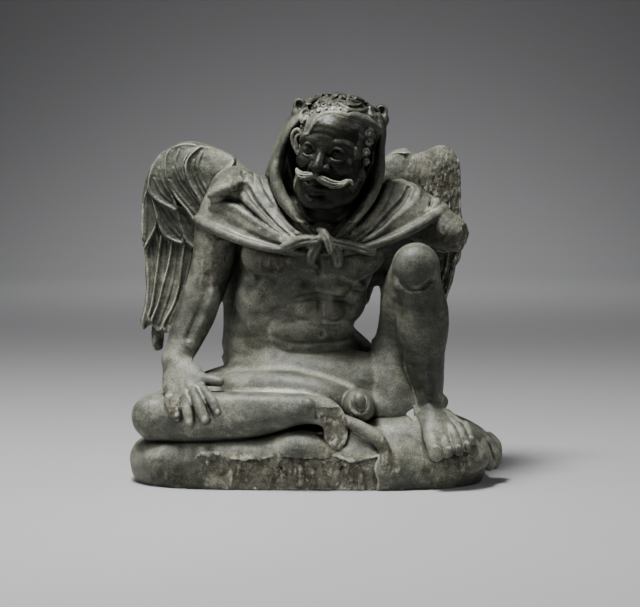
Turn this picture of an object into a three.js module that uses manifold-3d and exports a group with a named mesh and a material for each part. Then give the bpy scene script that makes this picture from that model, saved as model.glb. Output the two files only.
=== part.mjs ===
// A winged atlas figure, carved from one block of grey schist. He sits on rough ground with one leg
// folded flat and the other knee raised, and wears a lion's skin: its scalp is his hood, its hide is
// his cape, and its forepaws are knotted on his chest.
// Units are millimetres. +X is to the viewer's right, +Y away from the viewer and +Z up. The stations
// are written from a point under the neck, and figure() moves the finished stone so that the origin is
// at the middle of its underside. "Right" and "left" in names are the figure's own sides, so the right
// arm is on the viewer's left.
import * as THREE from "three";
import { mergeVertices } from "three/addons/utils/BufferGeometryUtils.js";
import Module from "manifold-3d";

const wasm = await Module();
wasm.setup();

// Driving dimensions
const HEIGHT = 560;
const DESIGN_HEIGHT = 560; // the height that the stations below are written for
const SCALE = HEIGHT / DESIGN_HEIGHT;
const STONE = { color: 0x85877c, roughness: 0.72, metalness: 0.0 };

const FRONT = new THREE.Vector3(0, -1, 0);
const UP = new THREE.Vector3(0, 0, 1);
const HALF_TURN = Math.PI;
const QUARTER_TURN = Math.PI / 2;

const degrees = (angle) => THREE.MathUtils.degToRad(angle);
const mix = (from, to, share) => THREE.MathUtils.lerp(from, to, share);
const point = ([x, y, z]) => new THREE.Vector3(x, y, z);

// Surface makers

// One closed surface over rings of points that run from one end of a form to the other.
function skin(rings) {
  const sides = rings[0].length;
  const middle = (ring) => ring.reduce((sum, p) => sum.add(p), new THREE.Vector3()).divideScalar(sides);
  const points = [middle(rings[0]), ...rings.flat(), middle(rings.at(-1))];
  const last = points.length - 1;
  const faces = [];
  for (let side = 0; side < sides; side++) {
    const next = (side + 1) % sides;
    faces.push(0, 1 + next, 1 + side);
    for (let ring = 0; ring < rings.length - 1; ring++) {
      const a = 1 + ring * sides;
      const b = a + sides;
      faces.push(a + side, a + next, b + next, a + side, b + next, b + side);
    }
    faces.push(last, last - sides + side, last - sides + next);
  }
  const geometry = new THREE.BufferGeometry().setFromPoints(points);
  geometry.setIndex(faces);
  return geometry;
}

// A rounded form along stations [x, y, z, half width, half depth]. The width is measured across the
// form as seen from `facing`, and the depth towards it. `ends` says in how many rings each end closes.
function limb(stations, { sides = 8, steps = 1, facing = FRONT, ends = [1, 1], blunt = 1 } = {}) {
  const line = new THREE.CatmullRomCurve3(stations.map(point));
  const sizes = new THREE.CatmullRomCurve3(stations.map(([, , , w, d = w]) => point([w, d, 0])));
  const ring = (t, share, along) => {
    const tangent = line.getTangent(t);
    const across = new THREE.Vector3().crossVectors(facing, tangent).normalize();
    const towards = new THREE.Vector3().crossVectors(tangent, across).normalize();
    const size = sizes.getPoint(t);
    const centre = line.getPoint(t).addScaledVector(tangent, along * Math.min(size.x, size.y) * blunt);
    return Array.from({ length: sides }, (_, side) => {
      const angle = (2 * HALF_TURN * (side + 0.5)) / sides;
      return centre
        .clone()
        .addScaledVector(across, Math.cos(angle) * size.x * share)
        .addScaledVector(towards, Math.sin(angle) * size.y * share);
    });
  };
  const closing = (t, count, direction) =>
    Array.from({ length: count }, (_, number) => {
      const angle = (QUARTER_TURN * (number + 0.4)) / count;
      return ring(t, Math.sin(angle), direction * Math.cos(angle));
    });
  const spans = steps * (stations.length - 1);
  const body = Array.from({ length: spans + 1 }, (_, span) => ring(span / spans, 1, 0));
  return skin([...closing(0, ends[0], -1), ...body, ...closing(1, ends[1], 1).reverse()]);
}

// A thin tapered ridge, such as a fold or a strand of hair.
const ridge = (stations, options = {}) => limb(stations, { sides: 5, ...options });

// The rotation that nods by the first angle, turns by the second and leans by the third.
function turned([nod, turn, lean]) {
  const matrix = new THREE.Matrix4().makeRotationY(degrees(lean));
  matrix.multiply(new THREE.Matrix4().makeRotationZ(degrees(turn)));
  return matrix.multiply(new THREE.Matrix4().makeRotationX(degrees(nod)));
}

// An ellipsoid, turned in the same way.
function blob(centre, radii, turn = [0, 0, 0], sides = 8, rows = 5) {
  const geometry = new THREE.SphereGeometry(1, sides, rows);
  geometry.rotateX(QUARTER_TURN);
  geometry.scale(...radii);
  geometry.applyMatrix4(turned(turn));
  geometry.translate(...centre);
  return geometry;
}

// A closed form round an upright axis. Each row is one line over it: its reach to the viewer's left
// and right and to the front and back, and its height in front, on the left and right, and at the
// back. `square` below 1 fills the corners of the plan.
function shell(rows, [axisX, axisY], sides, square = 1) {
  const corner = (value) => Math.sign(value) * Math.abs(value) ** square;
  const rings = rows.map(({ reach, height }) =>
    Array.from({ length: sides }, (_, side) => {
      const angle = (2 * HALF_TURN * side) / sides;
      const across = Math.sin(angle);
      const away = -Math.cos(angle);
      const sideways = across * across;
      return new THREE.Vector3(
        axisX + corner(across) * (across < 0 ? reach[0] : reach[1]),
        axisY + corner(away) * (away < 0 ? reach[2] : reach[3]),
        mix(away < 0 ? height[0] : height[3], across < 0 ? height[1] : height[2], sideways),
      );
    }),
  );
  return skin(rings);
}

// The same form on the other side of its own middle plane.
const mirrored = (stations) => stations.map(([x, ...rest]) => [-x, ...rest]);
const bothSides = (stations, make = ridge) => [make(stations), make(mirrored(stations))];

// Geometry to solid, and back

function solid(geometry) {
  const bare = new THREE.BufferGeometry();
  bare.setAttribute("position", geometry.getAttribute("position").clone());
  if (geometry.index) bare.setIndex(geometry.index.clone());
  const merged = mergeVertices(bare, 1e-3);
  const vertProperties = merged.attributes.position.array;
  const make = (triVerts) => new wasm.Manifold(new wasm.Mesh({ numProp: 3, vertProperties, triVerts }));
  const triVerts = new Uint32Array(merged.index.array);
  const made = make(triVerts);
  return made.volume() > 0 ? made : make(triVerts.reverse());
}

const join = (geometries) => geometries.map(solid).reduce((whole, piece) => whole.add(piece));

function geometryOf(manifold) {
  const mesh = manifold.getMesh();
  const geometry = new THREE.BufferGeometry();
  geometry.setAttribute("position", new THREE.BufferAttribute(mesh.vertProperties, mesh.numProp));
  geometry.setIndex(new THREE.BufferAttribute(mesh.triVerts, 1));
  return geometry;
}

// Trunk

const TRUNK = [
  [0, 24, 418, 86, 42],
  [-8, 2, 370, 104, 58],
  [-14, -8, 318, 99, 60],
  [-28, -2, 268, 95, 52],
  [-38, 4, 222, 92, 46],
  [-30, 8, 172, 100, 54],
  [0, 18, 120, 110, 62],
];

// The straight muscle of the belly, pinched in at each of its bands.
const BELLY = [
  [0, -46, 302, 40, 17],
  [-7, -42, 276, 30, 13],
  [-14, -38, 254, 38, 15],
  [-22, -33, 232, 30, 13],
  [-28, -32, 208, 36, 15],
];

// The hide hangs down his back from the shoulders to the ground.
const BACK_DRAPE = [
  [-10, 44, 404, 118, 34],
  [-26, 50, 300, 112, 34],
  [-28, 50, 222, 108, 34],
  [-8, 52, 140, 128, 42],
  [0, 52, 50, 150, 52],
];

function trunk() {
  const bellyRoll = [
    [-104, -14, 194, 12, 18],
    [-30, -44, 181, 15, 20],
    [48, -38, 186, 12, 18],
  ];
  return [
    limb(TRUNK, { sides: 11, blunt: 0.6 }),
    limb(BACK_DRAPE, { sides: 10, ends: [0, 0] }),
    blob([-60, -48, 326], [44, 24, 36], [-12, 0, 12], 8, 5),
    blob([38, -50, 330], [44, 24, 34], [-12, 0, -12], 8, 5),
    limb(BELLY, { sides: 8 }),
    limb(bellyRoll, { sides: 6 }),
    limb([[18, -42, 424, 40, 38], [4, -6, 392, 66, 44]], { sides: 8, ends: [0, 0] }),
  ];
}

// Arms

const RIGHT_ARM = [
  [-118, 12, 416, 38, 40],
  [-139, 4, 372, 36, 38],
  [-149, -2, 318, 33, 36],
  [-163, -6, 270, 29, 32],
  [-174, -12, 240, 30, 32],
  [-190, -34, 196, 27, 27],
  [-201, -58, 166, 22, 20],
];
const RIGHT_HAND = [
  [-202, -56, 168, 21, 18],
  [-192, -78, 152, 33, 15],
  [-181, -98, 132, 33, 11],
];
const THUMB = [
  [-180, -82, 152, 12],
  [-158, -92, 151, 9],
  [-138, -98, 146, 8],
];

// The resting fingers: knuckle, middle joint and tip, with the half width of each finger.
const RESTING_FINGERS = [
  { knuckle: [-160, -104, 134], middle: [-150, -121, 122], tip: [-141, -126, 110], width: 8 },
  { knuckle: [-175, -107, 130], middle: [-165, -124, 117], tip: [-157, -128, 104], width: 8.5 },
  { knuckle: [-189, -105, 126], middle: [-182, -121, 113], tip: [-178, -125, 101], width: 8.5 },
  { knuckle: [-203, -99, 124], middle: [-200, -112, 114], tip: [-198, -115, 107], width: 8 },
];

function rightArm() {
  const finger = ({ knuckle, middle, tip, width }) =>
    limb([[...knuckle, width], [...middle, width * 0.95], [...tip, width * 0.8]], { sides: 5, ends: [0, 1] });
  return [
    limb(RIGHT_ARM, { sides: 9, ends: [1, 0] }),
    limb(RIGHT_HAND, { sides: 8 }),
    limb(THUMB, { sides: 5, ends: [0, 1] }),
    ...RESTING_FINGERS.map(finger),
  ];
}

// The left arm is broken off above the elbow.
const LEFT_ARM_STUB = [
  [112, 10, 404, 34, 38],
  [154, 2, 378, 36, 40],
  [184, -8, 361, 28, 36],
  [207, -14, 349, 18, 24],
];

// Legs

const RIGHT_THIGH = [
  [-28, 26, 122, 60, 64],
  [-120, 2, 116, 50, 56],
  [-186, -32, 105, 41, 46],
  [-224, -54, 94, 34, 36],
];
const RIGHT_SHIN = [
  [-226, -60, 92, 35, 35],
  [-158, -90, 98, 37, 34],
  [-77, -110, 105, 31, 28],
  [-20, -121, 115, 22, 20],
];
const RIGHT_FOOT = [
  [-22, -121, 115, 20, 20],
  [12, -124, 106, 22, 20],
  [30, -124, 80, 18, 20],
  [28, -124, 54, 12, 15],
];
const LEFT_THIGH = [
  [141, -84, 312, 34, 34],
  [136, -44, 260, 46, 44],
  [134, -8, 200, 52, 50],
  [130, 24, 136, 56, 58],
];
const LEFT_SHIN = [
  [141, -96, 314, 34, 34],
  [148, -84, 268, 32, 33],
  [153, -74, 216, 32, 34],
  [158, -66, 164, 26, 28],
  [162, -60, 122, 22, 24],
  [160, -54, 88, 23, 28],
];
const LEFT_FOOT = [
  [156, -40, 76, 20, 22],
  [166, -74, 84, 24, 24],
  [180, -104, 76, 31, 16],
  [190, -122, 67, 33, 9],
];

// Toes from the big one, on the inner side, to the little one.
const TOES = { count: 5, from: [166, -124, 60], to: [214, -102, 66], thick: 12, thin: 7, length: 20 };

function toes() {
  return Array.from({ length: TOES.count }, (_, toe) => {
    const share = toe / (TOES.count - 1);
    const root = point(TOES.from).lerp(point(TOES.to), share);
    const radius = mix(TOES.thick, TOES.thin, Math.sqrt(share));
    const reach = TOES.length * (1 - 0.3 * share);
    const tip = root.clone().add(point([reach * 0.3, -reach, -5]));
    return limb([[...root.toArray(), radius], [...tip.toArray(), radius * 0.85]], { sides: 5, ends: [0, 1] });
  });
}

function legs() {
  return [
    limb(RIGHT_THIGH, { sides: 9, ends: [0, 1] }),
    limb(RIGHT_SHIN, { sides: 9, ends: [2, 0] }),
    limb(RIGHT_FOOT, { sides: 7, blunt: 0.5, ends: [0, 1] }),
    limb(LEFT_THIGH, { sides: 9, ends: [1, 0] }),
    limb(LEFT_SHIN, { sides: 9, ends: [2, 0] }),
    blob([140, -114, 312], [22, 16, 25], [0, 0, 0], 7, 4),
    limb(LEFT_FOOT, { sides: 8, facing: UP, blunt: 0.5 }),
    ...toes(),
  ];
}

// The nude body between the legs.
function groin() {
  return [
    blob([61, -96, 116], [24, 22, 24], [0, 0, 10], 8, 5),
    blob([60, -78, 146], [26, 22, 16], [20, 0, 0], 7, 4),
    limb([[34, -46, 150, 26, 24], [62, -58, 146, 26, 24]], { sides: 7 }),
  ];
}

// Head, written about its own middle: the chin is at z -62 and the hair line at z +62.

const HEAD = { at: [27, -60, 462], nod: 10, turn: -16, lean: 13 };

const FACE = [
  [0, -6, 52, 38, 44],
  [0, -12, 28, 45, 47],
  [0, -13, 2, 44, 47],
  [0, -15, -24, 39, 42],
  [0, -20, -46, 27, 31],
];

function headPlace() {
  const place = new THREE.Matrix4().makeTranslation(...HEAD.at);
  return place.multiply(turned([HEAD.nod, HEAD.turn, HEAD.lean]));
}

function head() {
  const nose = [
    [0, -54, 24, 6, 6],
    [0, -63, 4, 7, 7],
    [0, -66, -12, 11, 9],
  ];
  const brow = [
    [4, -55, 26, 4],
    [22, -53, 31, 5],
    [40, -38, 25, 4],
  ];
  const moustache = [
    [0, -60, -22, 5],
    [17, -58, -29, 8],
    [32, -47, -28, 7],
    [43, -36, -19, 4],
  ];
  const forms = [
    limb(FACE, { sides: 12, ends: [0, 1] }),
    limb(nose, { sides: 6, ends: [0, 1] }),
    blob([0, -55, -35], [15, 6, 6], [0, 0, 0], 7, 4),
    blob([0, -45, -51], [16, 13, 12], [0, 0, 0], 7, 4),
    ...bothSides(brow),
    ...bothSides(moustache),
    ...[-1, 1].map((side) => blob([19 * side, -49, 13], [13, 8, 7], [0, 0, 0], 6, 4)),
    ...[-1, 1].map((side) => blob([27 * side, -41, -8], [15, 13, 15], [0, 0, 0], 6, 4)),
    blob([-49, -4, 4], [8, 12, 19], [0, 0, 0], 6, 4),
  ];
  return forms.map((form) => form.applyMatrix4(headPlace()));
}

// Lion's scalp worn as a hood, its sides falling to the shoulders.

const HOOD = [
  [35, -30, 541, 48, 42],
  [31, -24, 518, 68, 56],
  [24, -14, 490, 73, 60],
  [15, 0, 458, 80, 58],
  [12, 14, 428, 85, 54],
];
const LION_EARS = [
  [-24, -36, 536],
  [90, -38, 528],
];

// Locks of the mane run back from the edge over the forehead.
const MANE = { count: 6, from: -52, to: 48, reach: 50, rise: 62 };

function mane() {
  return Array.from({ length: MANE.count }, (_, number) => {
    const angle = degrees(mix(MANE.from, MANE.to, number / (MANE.count - 1)));
    const sway = number % 2 ? 5 : -5;
    const at = (share, up, size) => [
      Math.sin(angle) * MANE.reach * share + sway * (1 - share) * 3,
      10 - Math.cos(angle) * (MANE.reach + 8) * share,
      MANE.rise + up - 14 * (1 - Math.cos(angle)) * share,
      size,
    ];
    return ridge([at(1.04, 4, 12), at(0.62, 20, 14)], { sides: 4 });
  });
}

function hood() {
  const border = [
    [-54, -22, 46, 7],
    [-34, -44, 62, 7],
    [0, -56, 67, 8],
    [34, -44, 62, 7],
    [54, -22, 46, 7],
  ];
  const rim = (x) => [
    [x * 0.92, -20, 46, 9],
    [x, -16, 8, 10],
    [x * 1.12, -8, -42, 10],
  ];
  const scalp = [
    ridge(border),
    ridge(rim(60)),
    ridge(rim(-60)),
    ...mane(),
  ];
  return [
    limb(HOOD, { sides: 12, ends: [2, 0], blunt: 0.4 }),
    ...LION_EARS.map((ear) => blob(ear, [13, 11, 14], [0, 0, 0], 6, 4)),
    ...scalp.map((form) => form.applyMatrix4(headPlace())),
  ];
}

// Cape of lion's hide. Its folds run from the knot on the chest round the shoulders to the back.

const CAPE_AXIS = [4, 0];
const CAPE_SIDES = 22;
const CAPE_ROWS = [
  { reach: [44, 48, 74, 30], height: [352, 412, 408, 440] },
  { reach: [56, 58, 82, 40], height: [352, 430, 424, 452] },
  { reach: [70, 72, 82, 50], height: [349, 430, 426, 448] },
  { reach: [78, 82, 86, 58], height: [347, 440, 434, 440] },
  { reach: [92, 92, 84, 68], height: [345, 438, 430, 424] },
  { reach: [102, 104, 88, 76], height: [343, 446, 434, 404] },
  { reach: [132, 134, 86, 82], height: [341, 444, 430, 366] },
  { reach: [160, 160, 88, 86], height: [339, 418, 412, 318] },
  { reach: [166, 170, 85, 87], height: [337, 398, 404, 270] },
  { reach: [176, 180, 90, 90], height: [333, 378, 394, 232] },
  { reach: [168, 172, 84, 84], height: [326, 370, 386, 222] },
];

// The forepaws tied in a knot, with their ends hanging below it.
function knot() {
  const strands = [
    [[-34, -88, 338, 8], [-6, -98, 346, 8], [12, -105, 352, 7]],
    [[56, -88, 338, 7], [30, -98, 344, 8], [10, -107, 347, 7]],
    [[6, -100, 340, 8], [-4, -98, 322, 12, 7], [-8, -92, 304, 12, 8]],
    [[20, -100, 338, 8], [28, -98, 322, 12, 7], [32, -90, 306, 12, 8]],
  ];
  return [blob([14, -98, 345], [14, 12, 12], [0, 0, 25], 6, 4), ...strands.map((strand) => limb(strand, { sides: 5 }))];
}

// Wings. Each is a plate behind the arm, with fans of leaf-shaped feathers laid over it in rows.

const WING = { front: 52, back: 88, bevel: 6 };
const RIGHT_OUTLINE = [
  [-90, 440], [-122, 466], [-162, 484], [-190, 489], [-216, 482], [-240, 462], [-254, 430], [-261, 390],
  [-261, 340], [-258, 270], [-263, 216], [-236, 214], [-222, 218], [-204, 262], [-170, 320], [-80, 330],
];
const LEFT_OUTLINE = [
  [84, 446], [104, 470], [128, 480], [140, 472], [156, 473], [176, 482], [192, 480], [205, 468], [211, 440],
  [213, 330], [202, 306], [201, 252], [166, 252], [168, 280], [150, 330], [80, 330],
];

// Each fan of feathers: its first and last root, its first and last tip as [x, z], how far its
// feathers bow sideways, and how far the fan stands out from the plate.
const RIGHT_FANS = [
  { count: 6, roots: [[-256, 340], [-186, 318]], tips: [[-262, 216], [-222, 214]], bow: 0, out: 4 },
  { count: 4, roots: [[-257, 400], [-182, 372]], tips: [[-258, 300], [-176, 318]], bow: -4, out: 10 },
  { count: 4, roots: [[-246, 442], [-176, 420]], tips: [[-236, 352], [-166, 356]], bow: -9, out: 14 },
  { count: 4, roots: [[-226, 470], [-160, 466]], tips: [[-204, 402], [-150, 386]], bow: -10, out: 20 },
];
const LEFT_FANS = [
  { count: 4, roots: [[176, 330], [208, 322]], tips: [[168, 250], [200, 250]], bow: 0, out: 4 },
  { count: 4, roots: [[140, 458], [208, 452]], tips: [[156, 340], [211, 316]], bow: 3, out: 9 },
];
const BACK_FANS = [
  { count: 4, roots: [[-254, 430], [-170, 430]], tips: [[-258, 222], [-200, 256]], bow: 0, out: 5 },
  { count: 3, roots: [[160, 440], [208, 440]], tips: [[172, 256], [200, 256]], bow: 0, out: 5 },
];
const FEATHER = { rows: 2, lift: 6, notch: 0.13 };

function plate(outline) {
  const shape = new THREE.Shape(outline.map(([x, z]) => new THREE.Vector2(x, z)));
  const geometry = new THREE.ExtrudeGeometry(shape, {
    depth: WING.back - WING.front - 2 * WING.bevel,
    bevelSize: WING.bevel,
    bevelThickness: WING.bevel,
    bevelOffset: -WING.bevel,
    bevelSegments: 1,
  });
  geometry.rotateX(QUARTER_TURN);
  return geometry.translate(0, WING.back - WING.bevel, 0);
}

// Feathers side by side: each has a raised shaft that runs on past the hollows beside it to a point.
function fan({ count, roots, tips, bow, out }, face, towards) {
  const columns = 2 * count;
  const crest = face - towards * out;
  const spot = (share, along, depth) => {
    const rootX = mix(roots[0][0], roots[1][0], share);
    const rootZ = mix(roots[0][1], roots[1][1], share);
    const tipX = mix(tips[0][0], tips[1][0], share);
    const tipZ = mix(tips[0][1], tips[1][1], share);
    const arch = bow * Math.sin(HALF_TURN * along);
    return new THREE.Vector3(mix(rootX, tipX, along) + arch, depth, mix(rootZ, tipZ, along));
  };
  const rings = Array.from({ length: FEATHER.rows + 1 }, (_, row) => {
    const along = row / FEATHER.rows;
    const front = Array.from({ length: columns + 1 }, (_, column) => {
      const shaft = column % 2 === 1;
      const reach = along * (shaft ? 1 : 1 - FEATHER.notch);
      const hollow = shaft ? 0 : FEATHER.lift;
      return spot(column / columns, reach, crest + towards * (hollow + 3 * along));
    });
    const inside = [1, 0].map((share) => spot(share, along * (1 - FEATHER.notch), face + towards * 12));
    return [...front, ...inside];
  });
  return skin(rings);
}

function wings() {
  const brokenTip = [
    [-236, 70, 220, 9, 9],
    [-238, 70, 200, 9, 10],
    [-237, 70, 184, 6, 8],
  ];
  return [
    plate(RIGHT_OUTLINE),
    plate(LEFT_OUTLINE),
    ...[...RIGHT_FANS, ...LEFT_FANS].map((row) => fan(row, WING.front, 1)),
    ...BACK_FANS.map((row) => fan(row, WING.back, -1)),
    limb(brokenTip, { sides: 6 }),
  ];
}

// Ground, draped with the end of the lion's skin.

const GROUND_AXIS = [-4, -8];
const GROUND_ROWS = [
  { reach: [252, 236, 112, 106], height: [-8, -8, -8, -8] },
  { reach: [268, 252, 122, 116], height: [22, 24, 18, 22] },
  { reach: [262, 248, 120, 112], height: [56, 48, 44, 44] },
  { reach: [236, 226, 104, 94], height: [74, 60, 72, 66] },
  { reach: [150, 160, 74, 60], height: [92, 70, 98, 84] },
];

function ground() {
  const lobe = [
    [40, -106, 90, 14, 12],
    [80, -124, 70, 20, 13],
    [94, -130, 40, 20, 12],
    [84, -130, 14, 18, 11],
  ];
  const paw = [
    [200, -24, 84, 24, 26],
    [236, -18, 64, 26, 30],
    [256, -14, 34, 15, 28],
  ];
  const claws = [-36, -14, 8].map((y) => [
    [234, y, 74, 8],
    [257, y, 52, 8],
    [263, y, 28, 7],
  ]);
  return [
    shell(GROUND_ROWS, GROUND_AXIS, 20, 0.72),
    blob([112, -52, 70], [104, 72, 40], [0, 0, 0], 10, 6),
    limb(lobe, { sides: 7 }),
    limb(paw, { sides: 7 }),
    ...claws.map((claw) => limb(claw, { sides: 5 })),
  ];
}

// The front of the ground is broken away, up to a ledge, in a rough face.
const BREAK = { from: -178, to: 72, face: -125, rough: 4, ledge: 48, teeth: 10 };

function frontBreak() {
  const [bottom, reach] = [-10, 60];
  const shape = new THREE.Shape([new THREE.Vector2(BREAK.to, BREAK.face - reach)]);
  for (let tooth = BREAK.teeth; tooth >= 0; tooth--) {
    const depth = BREAK.face + BREAK.rough * Math.sin(2.6 * tooth * tooth);
    shape.lineTo(mix(BREAK.from, BREAK.to, tooth / BREAK.teeth), depth);
  }
  shape.lineTo(BREAK.from, BREAK.face - reach);
  const geometry = new THREE.ExtrudeGeometry(shape, { depth: BREAK.ledge - bottom, bevelEnabled: false });
  return solid(geometry.translate(0, 0, bottom));
}

// Everything below the ground's underside is cut off flat.
function below() {
  const [width, depth, height] = [800, 600, 200];
  return solid(new THREE.BoxGeometry(width, depth, height).translate(0, 0, -height / 2));
}

function figure() {
  const whole = join([
    ...trunk(),
    ...rightArm(),
    limb(LEFT_ARM_STUB, { sides: 8, blunt: 0.4 }),
    ...legs(),
    ...groin(),
    shell(CAPE_ROWS, CAPE_AXIS, CAPE_SIDES),
    ...knot(),
    ...hood(),
    ...head(),
    ...wings(),
    ...ground(),
  ]);
  const geometry = geometryOf(whole.subtract(frontBreak()).subtract(below()));
  geometry.scale(SCALE, SCALE, SCALE);
  geometry.computeBoundingBox();
  const { min, max } = geometry.boundingBox;
  return geometry.translate(-(min.x + max.x) / 2, -(min.y + max.y) / 2, -min.z);
}

const statue = new THREE.Mesh(figure(), new THREE.MeshStandardMaterial(STONE));
statue.name = "winged_atlas_figure";

const group = new THREE.Group();
group.add(statue);

export default group;
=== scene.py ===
import itertools
import math

import bmesh
import bpy
import numpy as np
import openvdb as vdb
from mathutils import Matrix, Vector


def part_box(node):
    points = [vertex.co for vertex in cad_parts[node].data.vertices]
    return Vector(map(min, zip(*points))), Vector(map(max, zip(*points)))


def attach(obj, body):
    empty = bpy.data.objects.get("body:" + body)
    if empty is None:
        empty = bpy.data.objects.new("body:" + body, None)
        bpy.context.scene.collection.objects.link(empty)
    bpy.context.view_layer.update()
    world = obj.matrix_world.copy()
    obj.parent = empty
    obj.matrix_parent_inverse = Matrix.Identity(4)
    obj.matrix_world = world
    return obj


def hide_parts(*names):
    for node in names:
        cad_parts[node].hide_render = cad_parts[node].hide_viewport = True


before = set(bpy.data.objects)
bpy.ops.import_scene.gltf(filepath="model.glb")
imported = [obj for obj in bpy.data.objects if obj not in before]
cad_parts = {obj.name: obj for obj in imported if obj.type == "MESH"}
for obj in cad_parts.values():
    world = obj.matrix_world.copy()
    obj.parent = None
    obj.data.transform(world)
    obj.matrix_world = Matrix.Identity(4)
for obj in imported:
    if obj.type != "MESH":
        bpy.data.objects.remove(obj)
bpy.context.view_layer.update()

NODE = "winged_atlas_figure"

# The forms below are in the carving's own millimetres: the height and the middle of the box that they
# are written for, and how those turn into the frame's metres.
FORM_HEIGHT = 560.3
FORM_MIDDLE = np.array([-1.1, -22.9, 0.0])
LOW, HIGH = (np.array(corner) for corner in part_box(NODE))
UNIT = (HIGH[2] - LOW[2]) / FORM_HEIGHT
BASE = np.array([(LOW[0] + HIGH[0]) / 2, (LOW[1] + HIGH[1]) / 2, LOW[2]])

VOXEL = 1.5
GROUND_VOXEL = 1.5
WING_VOXEL = 1.1
HEAD_VOXEL = 1.0
FAR = 60.0
# Grid steps on each side of a lofted surface, and of the finished one, that hold distances
LOFT_BAND = 8
BAND = 4
# The least half width of a limb
THINNEST = 0.4

# The camera: where it stands in carving millimetres, how far it looks down and left in degrees, its lens
# and sensor in millimetres, and in the photograph's pixels its focal length and the spot level ahead of it
CAMERA = {
    "at": [48, -3260, 510], "down": 4.48, "left": 0.76, "lens": 126.6, "sensor": 36,
    "focal": 2250, "ahead": [350, 127],
}

FRONT = np.array([0.0, -1.0, 0.0])
UP = np.array([0.0, 0.0, 1.0])


def to_frame(points):
    """Carving millimetres to the frame's metres."""
    return (np.asarray(points, float) - FORM_MIDDLE) * UNIT + BASE


def from_frame(points):
    """The frame's metres to carving millimetres."""
    return (points - BASE) / UNIT + FORM_MIDDLE


# Curves and noise


def unit(vectors):
    return vectors / np.maximum(np.linalg.norm(vectors, axis=-1, keepdims=True), 1e-9)


def spline(values, per_span):
    """A smooth line through rows of values, with so many steps from each to the next."""
    rows = np.asarray(values, float)
    if len(rows) == 2:
        return rows[0] + (rows[1] - rows[0]) * np.linspace(0, 1, per_span + 1)[:, None]
    padded = np.vstack([2 * rows[0] - rows[1], rows, 2 * rows[-1] - rows[-2]])
    share = np.linspace(0, 1, per_span, endpoint=False)[:, None]
    pieces = []
    for a, b, c, d in zip(padded, padded[1:], padded[2:], padded[3:]):
        bend = (2 * a - 5 * b + 4 * c - d) * share**2 + (3 * b - a - 3 * c + d) * share**3
        pieces.append(b + 0.5 * ((c - a) * share + bend))
    return np.vstack(pieces + [rows[-1:]])


NOISE = {"cells": 32, "shift": 7.3, "octaves": 3, "fade": 1.6}


def corner_mix(whole, part, value):
    """What `value` reads at the eight grid points round each place, mixed by how near each is."""
    total = 0
    for bits in itertools.product((0, 1), repeat=3):
        weight = 1
        for bit, share in zip(bits, part):
            weight = weight * (share if bit else 1 - share)
        total = total + weight * value([at + bit for at, bit in zip(whole, bits)])
    return total


def noise(places, size, seed):
    """Smooth random values from -1 to 1 that change over about so many millimetres."""
    cells = NOISE["cells"]
    lattice = np.random.default_rng(seed).uniform(-1, 1, (cells,) * 3).astype(np.float32)
    whole, part = [], []
    for axis, place in enumerate(places):
        scaled = np.asarray(place, np.float32) / size + NOISE["shift"] * (axis + seed)
        below = np.floor(scaled)
        share = scaled - below
        whole.append(below.astype(np.int32))
        part.append(share * share * (3 - 2 * share))
    return corner_mix(whole, part, lambda at: lattice[tuple(n % cells for n in at)])


def rough(places, size, seed):
    """Noise with finer noise on it, as on broken stone."""
    return sum(noise(places, size / 2**n, seed + n) / NOISE["fade"]**n for n in range(NOISE["octaves"]))


def smooth_min(a, b, reach):
    if reach <= 0:
        return np.minimum(a, b)
    share = np.clip(0.5 + 0.5 * (b - a) / reach, 0, 1)
    return b + (a - b) * share - reach * share * (1 - share)


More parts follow.
